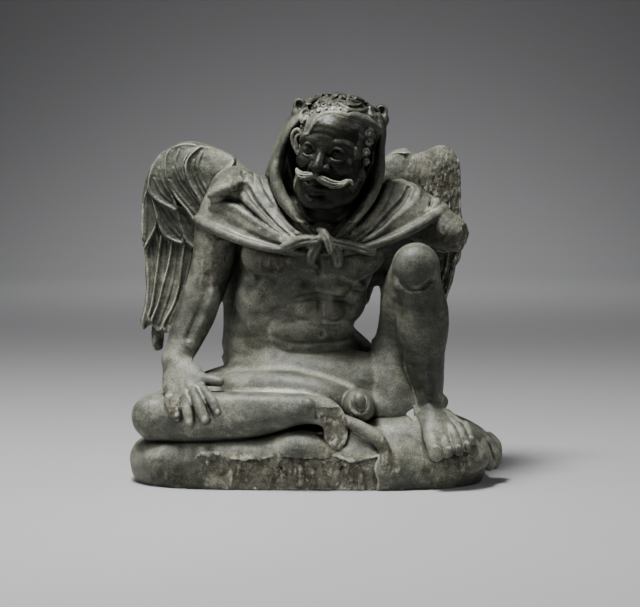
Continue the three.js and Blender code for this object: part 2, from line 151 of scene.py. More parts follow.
class Stone:
    """Stone held as distances to its surface on a grid, negative inside, in carving millimetres."""

    def __init__(self, low, high, voxel):
        self.voxel = voxel
        self.first = np.floor(np.array(low) / voxel).astype(int)
        self.count = np.ceil(np.array(high) / voxel).astype(int) - self.first + 1
        self.field = np.full(self.count, FAR, np.float32)
        self.turn = np.eye(3)
        self.at = np.zeros(3)
        self.scale = 1.0

    def stand(self, turn=None, at=(0, 0, 0), scale=1.0):
        """Sets how blobs and limbs that follow are turned, moved and scaled."""
        self.turn = np.eye(3) if turn is None else turn
        self.at = np.array(at, float)
        self.scale = scale

    def window(self, low, high):
        """The part of the grid inside a box, and the places of its points along X, Y and Z."""
        start = np.clip(np.floor(np.array(low) / self.voxel).astype(int) - self.first, 0, self.count)
        stop = np.clip(np.ceil(np.array(high) / self.voxel).astype(int) - self.first + 1, 0, self.count)
        spans = tuple(slice(a, b) for a, b in zip(start, stop))
        shapes = [(-1, 1, 1), (1, -1, 1), (1, 1, -1)]
        axes = [
            ((np.arange(a, b) + origin) * self.voxel).astype(np.float32).reshape(shape)
            for a, b, origin, shape in zip(start, stop, self.first, shapes)
        ]
        return spans, axes

    def put(self, spans, distance, blend, cut=False):
        here = self.field[spans]
        if here.size == 0:
            return
        if cut:
            self.field[spans] = -smooth_min(-here, distance, blend)
        else:
            self.field[spans] = smooth_min(here, distance, blend)

    def blob(self, centre, radii, turn=None, blend=6.0, cut=False):
        """An ellipsoid, with its axes turned by a 3 by 3 matrix."""
        centre = self.turn @ np.array(centre, float) * self.scale + self.at
        radii = np.array(radii, float) * self.scale
        turn = self.turn if turn is None else self.turn @ turn
        reach = radii.max() + blend + 2 * self.voxel
        spans, axes = self.window(centre - reach, centre + reach)
        offset = [axis - at for axis, at in zip(axes, centre)]
        local = [sum(row[n] * offset[n] for n in range(3)) for row in turn.T]
        self.put(spans, ellipsoid(local, radii), blend, cut)

    def blobs(self, rows):
        """Ellipsoids from rows of middle, half sizes, blend and, where it is turned, the turn in degrees."""
        for centre, radii, blend, *turn in rows:
            self.blob(centre, radii, turned(*turn[0]) if turn else None, blend)

    def limb(self, stations, facing=FRONT, blend=6.0, steps=5, cut=False, blunt=1.0):
        """A rounded form along stations [x, y, z, half width, half depth]."""
        full = np.array([list(s) + [s[3]] if len(s) == 4 else s for s in stations], float)
        full[:, :3] = full[:, :3] @ self.turn.T * self.scale + self.at
        full[:, 3:] *= self.scale
        facing = self.turn @ facing
        line = spline(full, steps)
        line[:, 3:] = np.maximum(line[:, 3:], THINNEST)
        margin = line[:, 3:].max() + blend + 2 * self.voxel
        spans, _ = self.window(line[:, :3].min(0) - margin, line[:, :3].max(0) + margin)
        start = [span.start for span in spans]
        distance = np.full([span.stop - span.start for span in spans], FAR, np.float32)
        if distance.size == 0:
            return
        for a, b in zip(line, line[1:]):
            along = b[:3] - a[:3]
            length = np.linalg.norm(along)
            if length < 1e-6:
                continue
            along = along / length
            across = unit(np.cross(facing, along))
            towards = unit(np.cross(along, across))
            near = max(a[3:].max(), b[3:].max()) + blend + 2 * self.voxel
            sub, places = self.window(np.minimum(a, b)[:3] - near, np.maximum(a, b)[:3] + near)
            if min(s.stop - s.start for s in sub) <= 0:
                continue
            offset = [place - at for place, at in zip(places, a[:3])]
            travel = sum(along[n] * offset[n] for n in range(3))
            share = np.clip(travel / length, 0, 1)
            width = a[3] + (b[3] - a[3]) * share
            depth = a[4] + (b[4] - a[4]) * share
            sideways = sum(across[n] * offset[n] for n in range(3))
            inward = sum(towards[n] * offset[n] for n in range(3))
            past = (travel - share * length) / max(blunt, 0.05)
            found = ellipsoid([sideways, inward, past], [width, depth, np.minimum(width, depth)])
            inner = tuple(slice(s.start - o, s.stop - o) for s, o in zip(sub, start))
            np.minimum(distance[inner], found, out=distance[inner])
        self.put(spans, distance, blend, cut)

    def column(self, stations, blend=6.0, blunt=1.0):
        """Level oval sections [x, y, z, half width, half depth] from the top down, joined to one form."""
        rows = spline(np.array(stations, float), 8)[::-1]
        margin = rows[:, 3:].max() + blend
        spans, (x, y, z) = self.window(rows[:, :3].min(0) - margin, rows[:, :3].max(0) + margin)
        middle_x, middle_y, width, depth = (np.interp(z, rows[:, 2], rows[:, n]) for n in (0, 1, 3, 4))
        past = (z - np.clip(z, rows[0, 2], rows[-1, 2])) / blunt
        local = [x - middle_x, y - middle_y, past + 0 * x]
        found = ellipsoid(local, [width, depth, np.minimum(width, depth)])
        self.put(spans, found.astype(np.float32), blend)

    def form(self, rings, blend=4.0, spread=None):
        """A closed form lofted over rings of points. `spread` adds a distance of its own to it."""
        points, triangles = skin(rings)
        reach = (LOFT_BAND + 1) * self.voxel
        spans, axes = self.window(points.min(0) - reach, points.max(0) + reach)
        transform = vdb.createLinearTransform(self.voxel)
        grid = vdb.FloatGrid.createLevelSetFromPolygons(
            points.astype(np.float32), triangles=triangles, transform=transform, halfWidth=float(LOFT_BAND)
        )
        distance = np.empty([span.stop - span.start for span in spans], np.float32)
        corner = [int(span.start + first) for span, first in zip(spans, self.first)]
        grid.copyToArray(distance, ijk=corner)
        if spread is not None:
            distance = distance + spread(axes)
        self.put(spans, distance, min(blend, (LOFT_BAND - 1) * self.voxel))

    def custom(self, low, high, distance, blend=2.0, cut=False):
        """A form whose distance is worked out by a function of the places of the grid's points."""
        spans, axes = self.window(low, high)
        self.put(spans, distance(axes).astype(np.float32), blend, cut)

    def drape(self, line, steps=4, raise_by=0.0, back=False):
        """Stations on the stone's front (or back) face over points [x, z, half width]."""
        fine = spline(line, steps)
        columns = ((fine[:, :2] / self.voxel).round() - self.first[[0, 2]]).astype(int)
        columns = np.clip(columns, 0, self.count[[0, 2]] - 1)
        solid = self.field[columns[:, 0], :, columns[:, 1]] < 0
        if back:
            solid = solid[:, ::-1]
        depth = np.argmax(solid, axis=1).astype(float)
        hit = solid.any(axis=1)
        if back:
            depth = self.count[1] - 1 - depth
        y = (depth + self.first[1]) * self.voxel + (raise_by if back else -raise_by)
        return [[x, level, z, size] for (x, z, size), level, found in zip(fine, y, hit) if found]

    def fold(self, line, raise_by=0.0, blend=3.0, cut=False, back=False):
        """A raised fold or a groove that follows the front or back face."""
        stations = self.drape(line, 4, raise_by, back)
        if len(stations) > 1:
            self.limb(stations, blend=blend, steps=1, cut=cut)

    def sample(self, points):
        """The field's values at points, read between the grid's points."""
        at = points / self.voxel - self.first
        inside = ((at >= 0) & (at <= self.count - 1)).all(axis=1)
        at = np.clip(at, 0, self.count - 1.001)
        whole = at.astype(np.int32)
        part = (at - whole).astype(np.float32)
        found = corner_mix(whole.T, part.T, lambda corner: self.field[tuple(corner)])
        return np.where(inside, found, FAR)

    def normals(self, points):
        """Unit vectors that point out of the stone."""
        step = 0.8 * self.voxel
        slope = []
        for axis in range(3):
            shift = np.zeros(3)
            shift[axis] = step
            slope.append(self.sample(points + shift) - self.sample(points - shift))
        return unit(np.stack(slope, axis=1))

    def surface(self):
        """The surface as points and quads."""
        band = BAND * self.voxel
        grid = vdb.FloatGrid(band)
        clipped = np.clip(self.field, -band, band)
        grid.copyFromArray(clipped, ijk=[int(n) for n in self.first], tolerance=0.0)
        grid.transform = vdb.createLinearTransform(self.voxel)
        return grid.convertToQuads(isovalue=0.0)


def ellipsoid(local, radii):
    """Distance to an ellipsoid's surface, near enough for blending."""
    scaled = [value / radius for value, radius in zip(local, radii)]
    whole = np.sqrt(sum(value * value for value in scaled))
    slope = np.sqrt(sum((value / radius) ** 2 for value, radius in zip(scaled, radii)))
    return whole * (whole - 1) / np.maximum(slope, 1e-5)


def skin(rings):
    """Points and triangles of a closed surface over rings of points."""
    rings = np.asarray(rings, float)
    count, sides, _ = rings.shape
    points = np.vstack([rings[0].mean(0), rings.reshape(-1, 3), rings[-1].mean(0)])
    side = np.arange(sides)
    after = (side + 1) % sides
    last = len(points) - 1
    faces = [np.stack([np.zeros(sides, int), 1 + after, 1 + side], 1)]
    for ring in range(count - 1):
        a = 1 + ring * sides
        b = a + sides
        faces.append(np.stack([a + side, a + after, b + after], 1))
        faces.append(np.stack([a + side, b + after, b + side], 1))
    end = last - sides
    faces.append(np.stack([np.full(sides, last), end + side, end + after], 1))
    faces = np.vstack(faces)
    a, b, c = (points[faces[:, n]] for n in range(3))
    if np.einsum("ij,ij->i", a, np.cross(b, c)).sum() < 0:
        faces = faces[:, ::-1]
    return points, np.ascontiguousarray(faces, dtype=np.uint32)


def shell_point(rows, axis, row, angle, square=1.0):
    """Points on a form round an upright axis, at a row (a number between the rows) and an angle."""
    values = np.array([list(r["reach"]) + list(r["height"]) for r in rows], float)
    fine = spline(values, 8)
    at = np.linspace(0, len(rows) - 1, len(fine))
    row, angle = np.broadcast_arrays(np.asarray(row, float), np.asarray(angle, float))
    left, right, near, back, high_near, high_left, high_right, high_back = (
        np.interp(row, at, fine[:, n]) for n in range(8)
    )
    across = np.sin(angle)
    away = -np.cos(angle)

    def corner(value):
        return np.sign(value) * np.abs(value) ** square

    sideways = across * across
    side_height = np.where(across < 0, high_left, high_right)
    end_height = np.where(away < 0, high_near, high_back)
    return np.stack(
        [
            axis[0] + corner(across) * np.where(across < 0, left, right),
            axis[1] + corner(away) * np.where(away < 0, near, back),
            end_height + (side_height - end_height) * sideways,
        ],
        axis=-1,
    )


RINGS_PER_ROW = 6


def shell_rings(rows, axis, sides, square=1.0):
    """Rings of points over the whole of such a form."""
    angle = np.linspace(-math.pi, math.pi, sides, endpoint=False)
    spots = np.linspace(0, len(rows) - 1, (len(rows) - 1) * RINGS_PER_ROW + 1)
    return np.stack([shell_point(rows, axis, row, angle, square) for row in spots])


def turned(nod, turn, lean):
    """The rotation that nods, then turns, then leans, in degrees."""
    return np.array(
        Matrix.Rotation(math.radians(lean), 3, "Y")
        @ Matrix.Rotation(math.radians(turn), 3, "Z")
        @ Matrix.Rotation(math.radians(nod), 3, "X")
    )


# Trunk

# Here and below, a limb's stations are [x, y, z, half width, half depth], or [x, y, z, half width] where it
# is round
TRUNK = [
    [0, 24, 418, 86, 42], [-8, 2, 370, 104, 58], [-12, -8, 318, 100, 60], [-24, -2, 268, 94, 54],
    [-36, 6, 222, 90, 44], [-30, 8, 172, 98, 48], [0, 18, 120, 110, 60],
]
BACK_DRAPE = [
    [-10, 44, 404, 118, 34], [-30, 50, 310, 110, 34], [-38, 50, 262, 103, 32], [-47, 50, 226, 96, 32],
    [-33, 51, 190, 114, 34], [-8, 52, 140, 128, 42], [0, 52, 50, 150, 52],
]
LAP = [
    [-104, 0, 150, 34, 28], [-50, -26, 150, 42, 33], [10, -34, 146, 42, 36], [62, -30, 148, 40, 34],
    [106, -34, 134, 38, 36], [140, -38, 112, 30, 36],
]
# Grooves of the chest and belly as points [x, z, half width], how far each stands out, and its blend
BELLY_GROOVES = [
    ([[-2, 350, 4], [2, 318, 4], [4, 304, 3]], 0, 6),
    ([[5, 272, 2], [5, 250, 2.2], [5, 238, 1.6]], 0, 6),
    ([[-66, 244, 1], [-36, 263, 1.4], [-6, 269, 1.4], [24, 268, 1.4], [50, 260, 1]], 0.5, 10),
    ([[8, 217, 2], [8, 213, 2]], 0, 5),
]


def carve_trunk(stone):
    stone.column(TRUNK, blend=0, blunt=0.6)
    stone.column(BACK_DRAPE, blend=10, blunt=0.3)
    stone.limb([[18, -42, 424, 36, 34], [4, -6, 388, 64, 44]], blend=10)
    for side, x, waist, hip in ((-1, -60, -88, -80), (1, 50, 44, 26)):
        stone.blob([x, -46, 322], [48, 25, 32], turned(-14, 0, 12 * -side), blend=9)
        stone.blob([waist, -28, 262], [28, 24, 36], turned(-6, 0, 16 * side), blend=10)
        stone.blob([hip, -22, 226], [28, 22, 24], turned(-6, 0, 20 * side), blend=10)
        stone.blob([x * 0.52, -52, 284], [25, 17, 20], turned(0, 0, -14 * side), blend=7)
        stone.blob([4 + side * 20, -49, 250], [19, 14, 17], blend=6)
        for rib in range(3):
            at = [0.4 * x + 0.6 * waist + side * (10 - 3 * rib), -42 + 4 * rib, 288 - 15 * rib]
            stone.blob(at, [15, 11, 6], turned(0, 20 * side, 28 * side), blend=5)
    stone.blob([-12, -38, 219], [54, 21, 18], blend=9)
    stone.limb(LAP, blend=10)
    stone.blob([4, -42, 250], [14, 15, 19], blend=10)
    stone.limb([[-86, -50, 300, 3], [-62, -69, 289, 4], [-22, -71, 294, 3]], blend=5, cut=True)
    stone.limb([[88, -40, 304, 3], [52, -69, 289, 4], [20, -71, 294, 3]], blend=5, cut=True)
    for line, out, blend in BELLY_GROOVES:
        stone.fold(line, out, blend, cut=True)
    for side, x in ((-1, -66), (1, 62)):
        stone.blob([x, -78, 303], [4, 4, 3], blend=4)


# Arms

RIGHT_ARM = [
    [-118, 12, 416, 38, 40], [-139, 4, 372, 36, 38], [-149, -2, 318, 32, 35], [-162, -6, 275, 29, 31],
    [-173, -12, 243, 30, 31], [-186, -30, 204, 28, 27], [-199, -54, 172, 21, 19],
]
WRIST = [-194, -66, 164]
HAND = [
    [-199, -54, 170, 21, 16], [-191, -76, 154, 31, 13], [-182, -94, 139, 32, 10],
]
THUMB = [
    [-188, -68, 158, 12], [-170, -84, 154, 10.5], [-152, -94, 153, 8.5], [-136, -99, 151, 7],
]
# Each finger's three joints and its half width
FINGERS = [
    ([-158, -106, 140], [-145, -123, 126], [-137, -128, 111], 7.2),
    ([-172, -108, 137], [-163, -126, 121], [-155, -130, 102], 8.0),
    ([-187, -106, 131], [-180, -124, 114], [-177, -129, 97], 7.6),
    ([-205, -98, 127], [-200, -112, 114], [-195, -119, 103], 7.4),
]
LEFT_ARM_STUB = [
    [112, 10, 404, 34, 38], [154, 2, 378, 35, 38], [186, -8, 361, 28, 36], [207, -14, 351, 21, 27],
]


def digit(stone, joints, width, taper, nail_at, nail_size):
    """A finger or toe over its joints, and its nail, placed from the tip."""
    stone.limb([[*joint, width * share] for joint, share in zip(joints, taper)], blend=1.2)
    stone.blob(np.add(joints[-1], nail_at), nail_size, blend=0.8)


def carve_arms(stone):
    stone.limb(RIGHT_ARM, blend=4)
    stone.blobs([
        ([-142, -18, 350], [26, 24, 40], 10, (0, 0, 10)),
        ([-158, -26, 246], [20, 18, 34], 8, (8, 0, 16)),
        ([-182, -8, 250], [17, 20, 28], 9, (0, 0, 14)),
        ([-176, -34, 214], [19, 14, 26], 9, (12, 0, 22)),
    ])
    stone.fold([[-158, 296, 2], [-161, 270, 2.6], [-171, 240, 2.6], [-184, 210, 2]], 0.6, blend=9, cut=True)
    stone.blob([-215, -50, 178], [7, 9, 9], blend=6)
    stone.limb(HAND, blend=6)
    stone.limb(THUMB, blend=4)
    for *joints, width in FINGERS:
        knuckle = joints[0]
        root = [0.4 * k + 0.6 * w for k, w in zip(knuckle, WRIST)]
        stone.limb([[*root, 6], [*knuckle, width * 0.85]], blend=4)
        stone.blob(knuckle, [width * 0.95] * 3, blend=3)
        nail = [width * 0.5, 2.2, width * 0.62]
        digit(stone, joints, width, (0.9, 1, 0.85), [0, -0.75 * width, 1], nail)
    for one, other in zip(FINGERS, FINGERS[1:]):
        sides = zip(one, other, (1.8, 2.6, 3.0))
        gap = [[*(0.5 * np.add(a, b) + [0, 3, 0]), size] for a, b, size in sides]
        stone.limb(gap, blend=1.5, cut=True)
    stone.limb(LEFT_ARM_STUB, blend=4, blunt=0.7)


# Legs

RIGHT_THIGH = [
    [-28, 26, 122, 60, 64], [-120, 2, 116, 50, 56], [-186, -32, 105, 41, 46], [-224, -54, 94, 34, 36],
]
RIGHT_SHIN = [
    [-226, -60, 95, 36, 36], [-158, -88, 99, 38, 34], [-77, -108, 107, 31, 28], [-20, -120, 116, 21, 21],
]
RIGHT_FOOT = [
    [-24, -120, 116, 20, 20], [12, -124, 112, 20, 17], [27, -126, 96, 18, 13], [29, -127, 77, 17, 10],
    [25, -127, 60, 11, 9], [21, -126, 46, 6, 8],
]
LEFT_THIGH = [
    [141, -84, 312, 34, 34], [136, -44, 260, 46, 44], [134, -8, 200, 52, 50], [130, 24, 136, 56, 58],
]
LEFT_SHIN = [
    [141, -94, 314, 34, 34], [148, -84, 268, 32, 33], [151, -76, 222, 33, 34], [155, -68, 180, 28, 30],
    [160, -62, 140, 21, 23], [160, -54, 92, 23, 28],
]
LEFT_FOOT = [
    [159, -44, 84, 21, 22], [166, -76, 92, 25, 23], [178, -98, 80, 29, 17], [187, -112, 68, 29, 11],
]
LEFT_CALF = [
    [104, -14, 212, 22, 30], [108, -26, 176, 30, 34], [110, -40, 134, 34, 38], [112, -46, 92, 32, 38],
    [112, -44, 62, 30, 34],
]
# Each toe's three joints and its half width
TOES = [
    ([160, -104, 84], [166, -122, 69], [169, -132, 54], 12.4),
    ([178, -106, 80], [182, -121, 68], [186, -131, 56], 8.8),
    ([191, -104, 86], [197, -118, 72], [201, -127, 58], 8.4),
    ([202, -98, 88], [208, -111, 75], [212, -120, 62], 8.0),
    ([212, -90, 88], [217, -101, 78], [219, -109, 69], 7.4),
]
# Where the ridges of the instep start, and below what half width a toe has one
INSTEP = [163, -82, 108]
SMALL_TOE = 10
LAP_FILL = [[-112, -48, 134, 26, 26], [-50, -70, 138, 26, 26], [6, -80, 130, 24, 24], [40, -78, 120, 20, 20]]


def carve_legs(stone):
    stone.limb(RIGHT_THIGH, blend=10)
    stone.limb(RIGHT_SHIN, blend=1.5, steps=7)
    stone.blob([-236, -74, 100], [26, 24, 27], blend=10)
    stone.limb([[-200, -100, 118, 12], [-130, -112, 122, 10], [-60, -124, 124, 8]], blend=12)
    stone.limb(RIGHT_FOOT, blend=5, blunt=0.5)
    stone.blob([-10, -137, 124], [10, 8, 9], blend=6)
    stone.limb(LEFT_THIGH, blend=8)
    stone.limb(LEFT_SHIN, blend=2)
    stone.blobs([
        ([139, -112, 316], [26, 17, 27], 9),
        ([120, -104, 290], [11, 11, 12], 7),
        ([160, -102, 290], [12, 11, 13], 7),
    ])
    stone.fold([[119, 295, 3], [132, 284, 3.5], [148, 284, 3.5], [162, 296, 3]], blend=4, cut=True)
    stone.limb([[143, -110, 276, 10], [149, -104, 236, 8], [156, -92, 180, 7], [161, -82, 138, 7]], blend=10)
    stone.blob([170, -66, 238], [19, 26, 46], blend=10)
    stone.blob([132, -66, 232], [17, 26, 40], blend=8)
    for x in (140, 181):
        stone.blob([x, -60, 118], [8, 10, 10], blend=6)
    stone.limb(LEFT_FOOT, facing=UP, blend=6, blunt=0.6)
    stone.limb([[163, -80, 110, 7], [168, -98, 93, 6], [166, -114, 78, 5]], blend=6)
    for *joints, width in TOES:
        nail = [width * 0.6, 3, width * 0.6]
        digit(stone, joints, width, (0.9, 0.98, 0.92), [0, -0.62 * width, 0.5 * width], nail)
        if width < SMALL_TOE:
            start = [INSTEP[0] + 0.5 * (joints[0][0] - INSTEP[0]), *INSTEP[1:]]
            stone.limb([[*start, 3], [*joints[0], 4]], blend=5)


def carve_groin(stone):
    stone.limb([[20, -40, 150, 26, 24], [62, -50, 140, 28, 24]], blend=12)
    stone.limb(LAP_FILL, blend=14)
    stone.limb([[44, -48, 112, 24, 28], [96, -52, 108, 26, 32], [132, -46, 104, 22, 30]], blend=12)
    stone.limb(LEFT_CALF, blend=8)
    stone.blob([61, -95, 117], [23.5, 23, 25], turned(0, 0, -12), blend=4)
    stone.blob([62, -119, 126], [16, 9, 19], turned(0, 0, -20), blend=2, cut=True)
    stone.blob([62, -111, 126], [8.5, 9, 12], turned(0, 0, -20), blend=1)
    stone.limb([[50, -112, 108, 1.5], [62, -117, 99, 1.5], [76, -108, 104, 1.5]], blend=2, cut=True)


# Cape and knot

# Rows over a form round an upright axis at [x, y]: its reach to the left, the right, the front and the back,
# and its heights at the front, the left, the right and the back
CAPE_AXIS = [4, 0]
CAPE_ROWS = [
    {"reach": [44, 48, 74, 30], "height": [352, 412, 408, 440]},
    {"reach": [56, 58, 82, 40], "height": [352, 430, 424, 452]},
    {"reach": [70, 72, 82, 50], "height": [349, 430, 426, 448]},
    {"reach": [78, 82, 86, 58], "height": [347, 440, 434, 440]},
    {"reach": [92, 92, 84, 68], "height": [345, 438, 430, 424]},
    {"reach": [102, 104, 88, 76], "height": [343, 446, 434, 404]},
    {"reach": [132, 134, 86, 82], "height": [341, 444, 430, 366]},
    {"reach": [160, 160, 88, 86], "height": [339, 418, 412, 318]},
    {"reach": [166, 170, 85, 87], "height": [337, 398, 404, 270]},
    {"reach": [176, 180, 90, 90], "height": [333, 378, 394, 232]},
    {"reach": [168, 172, 84, 84], "height": [326, 370, 386, 222]},
]
# Folds on the cape's front as points [x, z, half width], and how far each groove or ridge stands out
CAPE_GROOVES = [
    ([[-70, 456, 4], [-66, 435, 5], [-54, 414, 4.5], [-33, 389, 3.5], [-14, 371, 2.5]], 0),
    ([[-54, 402, 4.5], [-40, 390, 4], [-24, 374, 3]], -1.5),
    ([[-106, 446, 4], [-98, 422, 5], [-82, 398, 4.5], [-58, 372, 3.5], [-38, 356, 2.5]], 0),
    ([[-158, 408, 3.5], [-136, 411, 4], [-118, 407, 4], [-100, 396, 4], [-76, 375, 3], [-50, 356, 2.5]],
     -0.5),
    ([[-40, 440, 3.5], [-36, 420, 4], [-24, 398, 3.5], [-6, 376, 2.5]], 0),
    ([[91, 452, 4], [90, 424, 5], [78, 399, 4.5], [62, 374, 3], [48, 360, 2.5]], 0),
    ([[136, 430, 3.5], [125, 407, 4.5], [104, 386, 4.5], [82, 363, 3.5], [60, 348, 2.5]], -0.5),
    ([[68, 440, 3.5], [66, 420, 4], [53, 394, 3.5], [38, 372, 2.5]], 0),
    ([[164, 424, 3], [166, 404, 3], [162, 392, 3]], 0),
    ([[-140, 352, 3], [-112, 356, 3.5], [-86, 345, 3], [-60, 338, 2]], 0),
]
CAPE_RIDGES = [
    ([[-53, 458, 4.5], [-50, 430, 5], [-37, 403, 5], [-17, 378, 4], [0, 362, 3]], -1.0),
    ([[-29, 424, 3], [-17, 399, 3.5], [2, 380, 3]], -1.0),
    ([[-88, 448, 5], [-84, 428, 6], [-72, 406, 6], [-50, 380, 5], [-30, 362, 4], [-10, 354, 3]], -1.5),
    ([[-124, 436, 6], [-112, 418, 6], [-92, 398, 5], [-66, 374, 4], [-40, 354, 3]], -2.5),
    ([[-150, 396, 6], [-120, 396, 7], [-90, 378, 6], [-58, 357, 4.5], [-28, 346, 3]], -2.5),
    ([[79, 446, 4.5], [78, 422, 5], [64, 394, 5], [50, 374, 4], [36, 360, 3]], -1.0),
    ([[104, 458, 5], [104, 430, 6], [94, 406, 6], [75, 379, 5], [54, 360, 3.5]], -1.5),
    ([[150, 424, 4.5], [140, 402, 5], [116, 382, 5], [88, 360, 4], [60, 346, 3]], -2.0),
    ([[176, 412, 4], [172, 398, 4.5], [158, 388, 4]], -1.5),
]
# The rolled edge: its row on the cape, how far below that it lies, its half width, the share of it that the
# middle of the front has and that the sides have more, and the degrees to each side over which it grows
HEM = {"row": 9.0, "sink": 1.0, "half": 7.2, "least": 0.55, "more": 0.45, "grow": 50}


def carve_cape(stone):
    stone.form(shell_rings(CAPE_ROWS, CAPE_AXIS, 180), blend=1.0)
    stone.blob([-128, -34, 424], [30, 26, 12], turned(0, 0, -24), blend=10)
    for line, out in CAPE_GROOVES:
        stone.fold(line, out, blend=2.5, cut=True)
    for line, out in CAPE_RIDGES:
        stone.fold(line, out, blend=2.5)
    angle = np.radians(np.linspace(-180, 180, 90))
    points = shell_point(CAPE_ROWS, CAPE_AXIS, HEM["row"], angle)
    grow = np.clip(np.abs(np.degrees(angle)) / HEM["grow"], 0, 1)
    size = HEM["half"] * (HEM["least"] + HEM["more"] * grow)
    hem = [[x, y, z - HEM["sink"], s] for (x, y, z), s in zip(points, size)]
    stone.limb(hem, blend=1.5, steps=1)
    for number in range(7):
        x = -120 + 40 * number
        fall = [[x * 0.45 + 4, 430, 4], [x * 0.8, 340, 6], [x, 246, 7]]
        stone.fold(fall, -1.5, blend=6, back=True)
    for chip in ([-106, -60, 428, 6], [-112, -56, 414, 7], [-100, -64, 406, 5]):
        stone.blob(chip[:3], [chip[3], 4, chip[3]], blend=2, cut=True)


KNOT_STRANDS = [
    [[-46, -84, 338, 7], [-22, -95, 350, 8.5], [6, -103, 352, 7]],
    [[80, -80, 334, 6], [44, -94, 344, 8], [20, -104, 348, 7]],
    [[8, -103, 352, 6.5], [-2, -102, 336, 8, 6], [-6, -97, 321, 7, 6], [2, -97, 314, 5, 5]],
    [[20, -104, 352, 6.5], [29, -101, 334, 9, 6], [31, -95, 318, 8, 6]],
    [[4, -100, 366, 4], [12, -110, 362, 6], [18, -113, 348, 6], [22, -108, 336, 5]],
    [[-8, -100, 344, 5], [2, -110, 352, 6], [12, -108, 358, 5]],
]
KNOT_GROOVES = [
    [[-44, 339, 1.3], [-20, 350, 1.6], [2, 353, 1.3]],
    [[74, 336, 1.3], [44, 345, 1.6], [26, 349, 1.3]],
    [[4, 346, 1.3], [-4, 332, 1.6], [-6, 322, 1.3]],
    [[24, 345, 1.3], [30, 330, 1.6], [31, 316, 1.3]],
    [[10, 362, 1.2], [17, 350, 1.4], [20, 338, 1.2]],
]


def carve_knot(stone):
    for strand in KNOT_STRANDS:
        stone.limb(strand, blend=1.5)
    for line in KNOT_GROOVES:
        stone.fold(line, 0.3, blend=1.5, cut=True)


# Wings

# The wings: their front and back faces, how round their edges are, how far the shoulder swells, from what
# height and over what height and width, how far beyond its outline a wing may reach, and how large the chips
# of its edge are and how far the edge may stand out between them
WING = {
    "front": 52, "back": 88, "round": 9, "swell": 13, "swell_from": 320, "swell_over": 130, "swell_in": 34,
    "margin": 12, "ahead": 42, "behind": 24, "chip": 20, "out": 0.3,
}
# A feather: its raised rim, how far its middle lies lower, and the raised shafts with grooves beside them
FEATHER = {
    "rim": 2.2, "rim_in": 2.0, "rim_width": 1.7, "fall": 2.0, "fall_over": 9, "shaft": 1.3, "groove": 0.6,
    "groove_off": 3.4, "shaft_width": 1.5,
}
RIGHT_OUTLINE = [
    [-90, 440], [-122, 466], [-162, 484], [-190, 489], [-216, 482], [-240, 462], [-254, 430],
    [-260, 394], [-260, 356], [-256, 326], [-254, 285], [-256, 248], [-262, 224], [-258, 210],
    [-246, 218], [-234, 208], [-220, 207], [-202, 229], [-170, 320], [-80, 330],
]
LEFT_OUTLINE = [
    [84, 446], [104, 470], [128, 480], [140, 472], [156, 473], [176, 482], [192, 480], [205, 468],
    [211, 440], [213, 330], [204, 306], [199, 282], [188, 252], [168, 250], [176, 276], [160, 320], [80, 330],
]
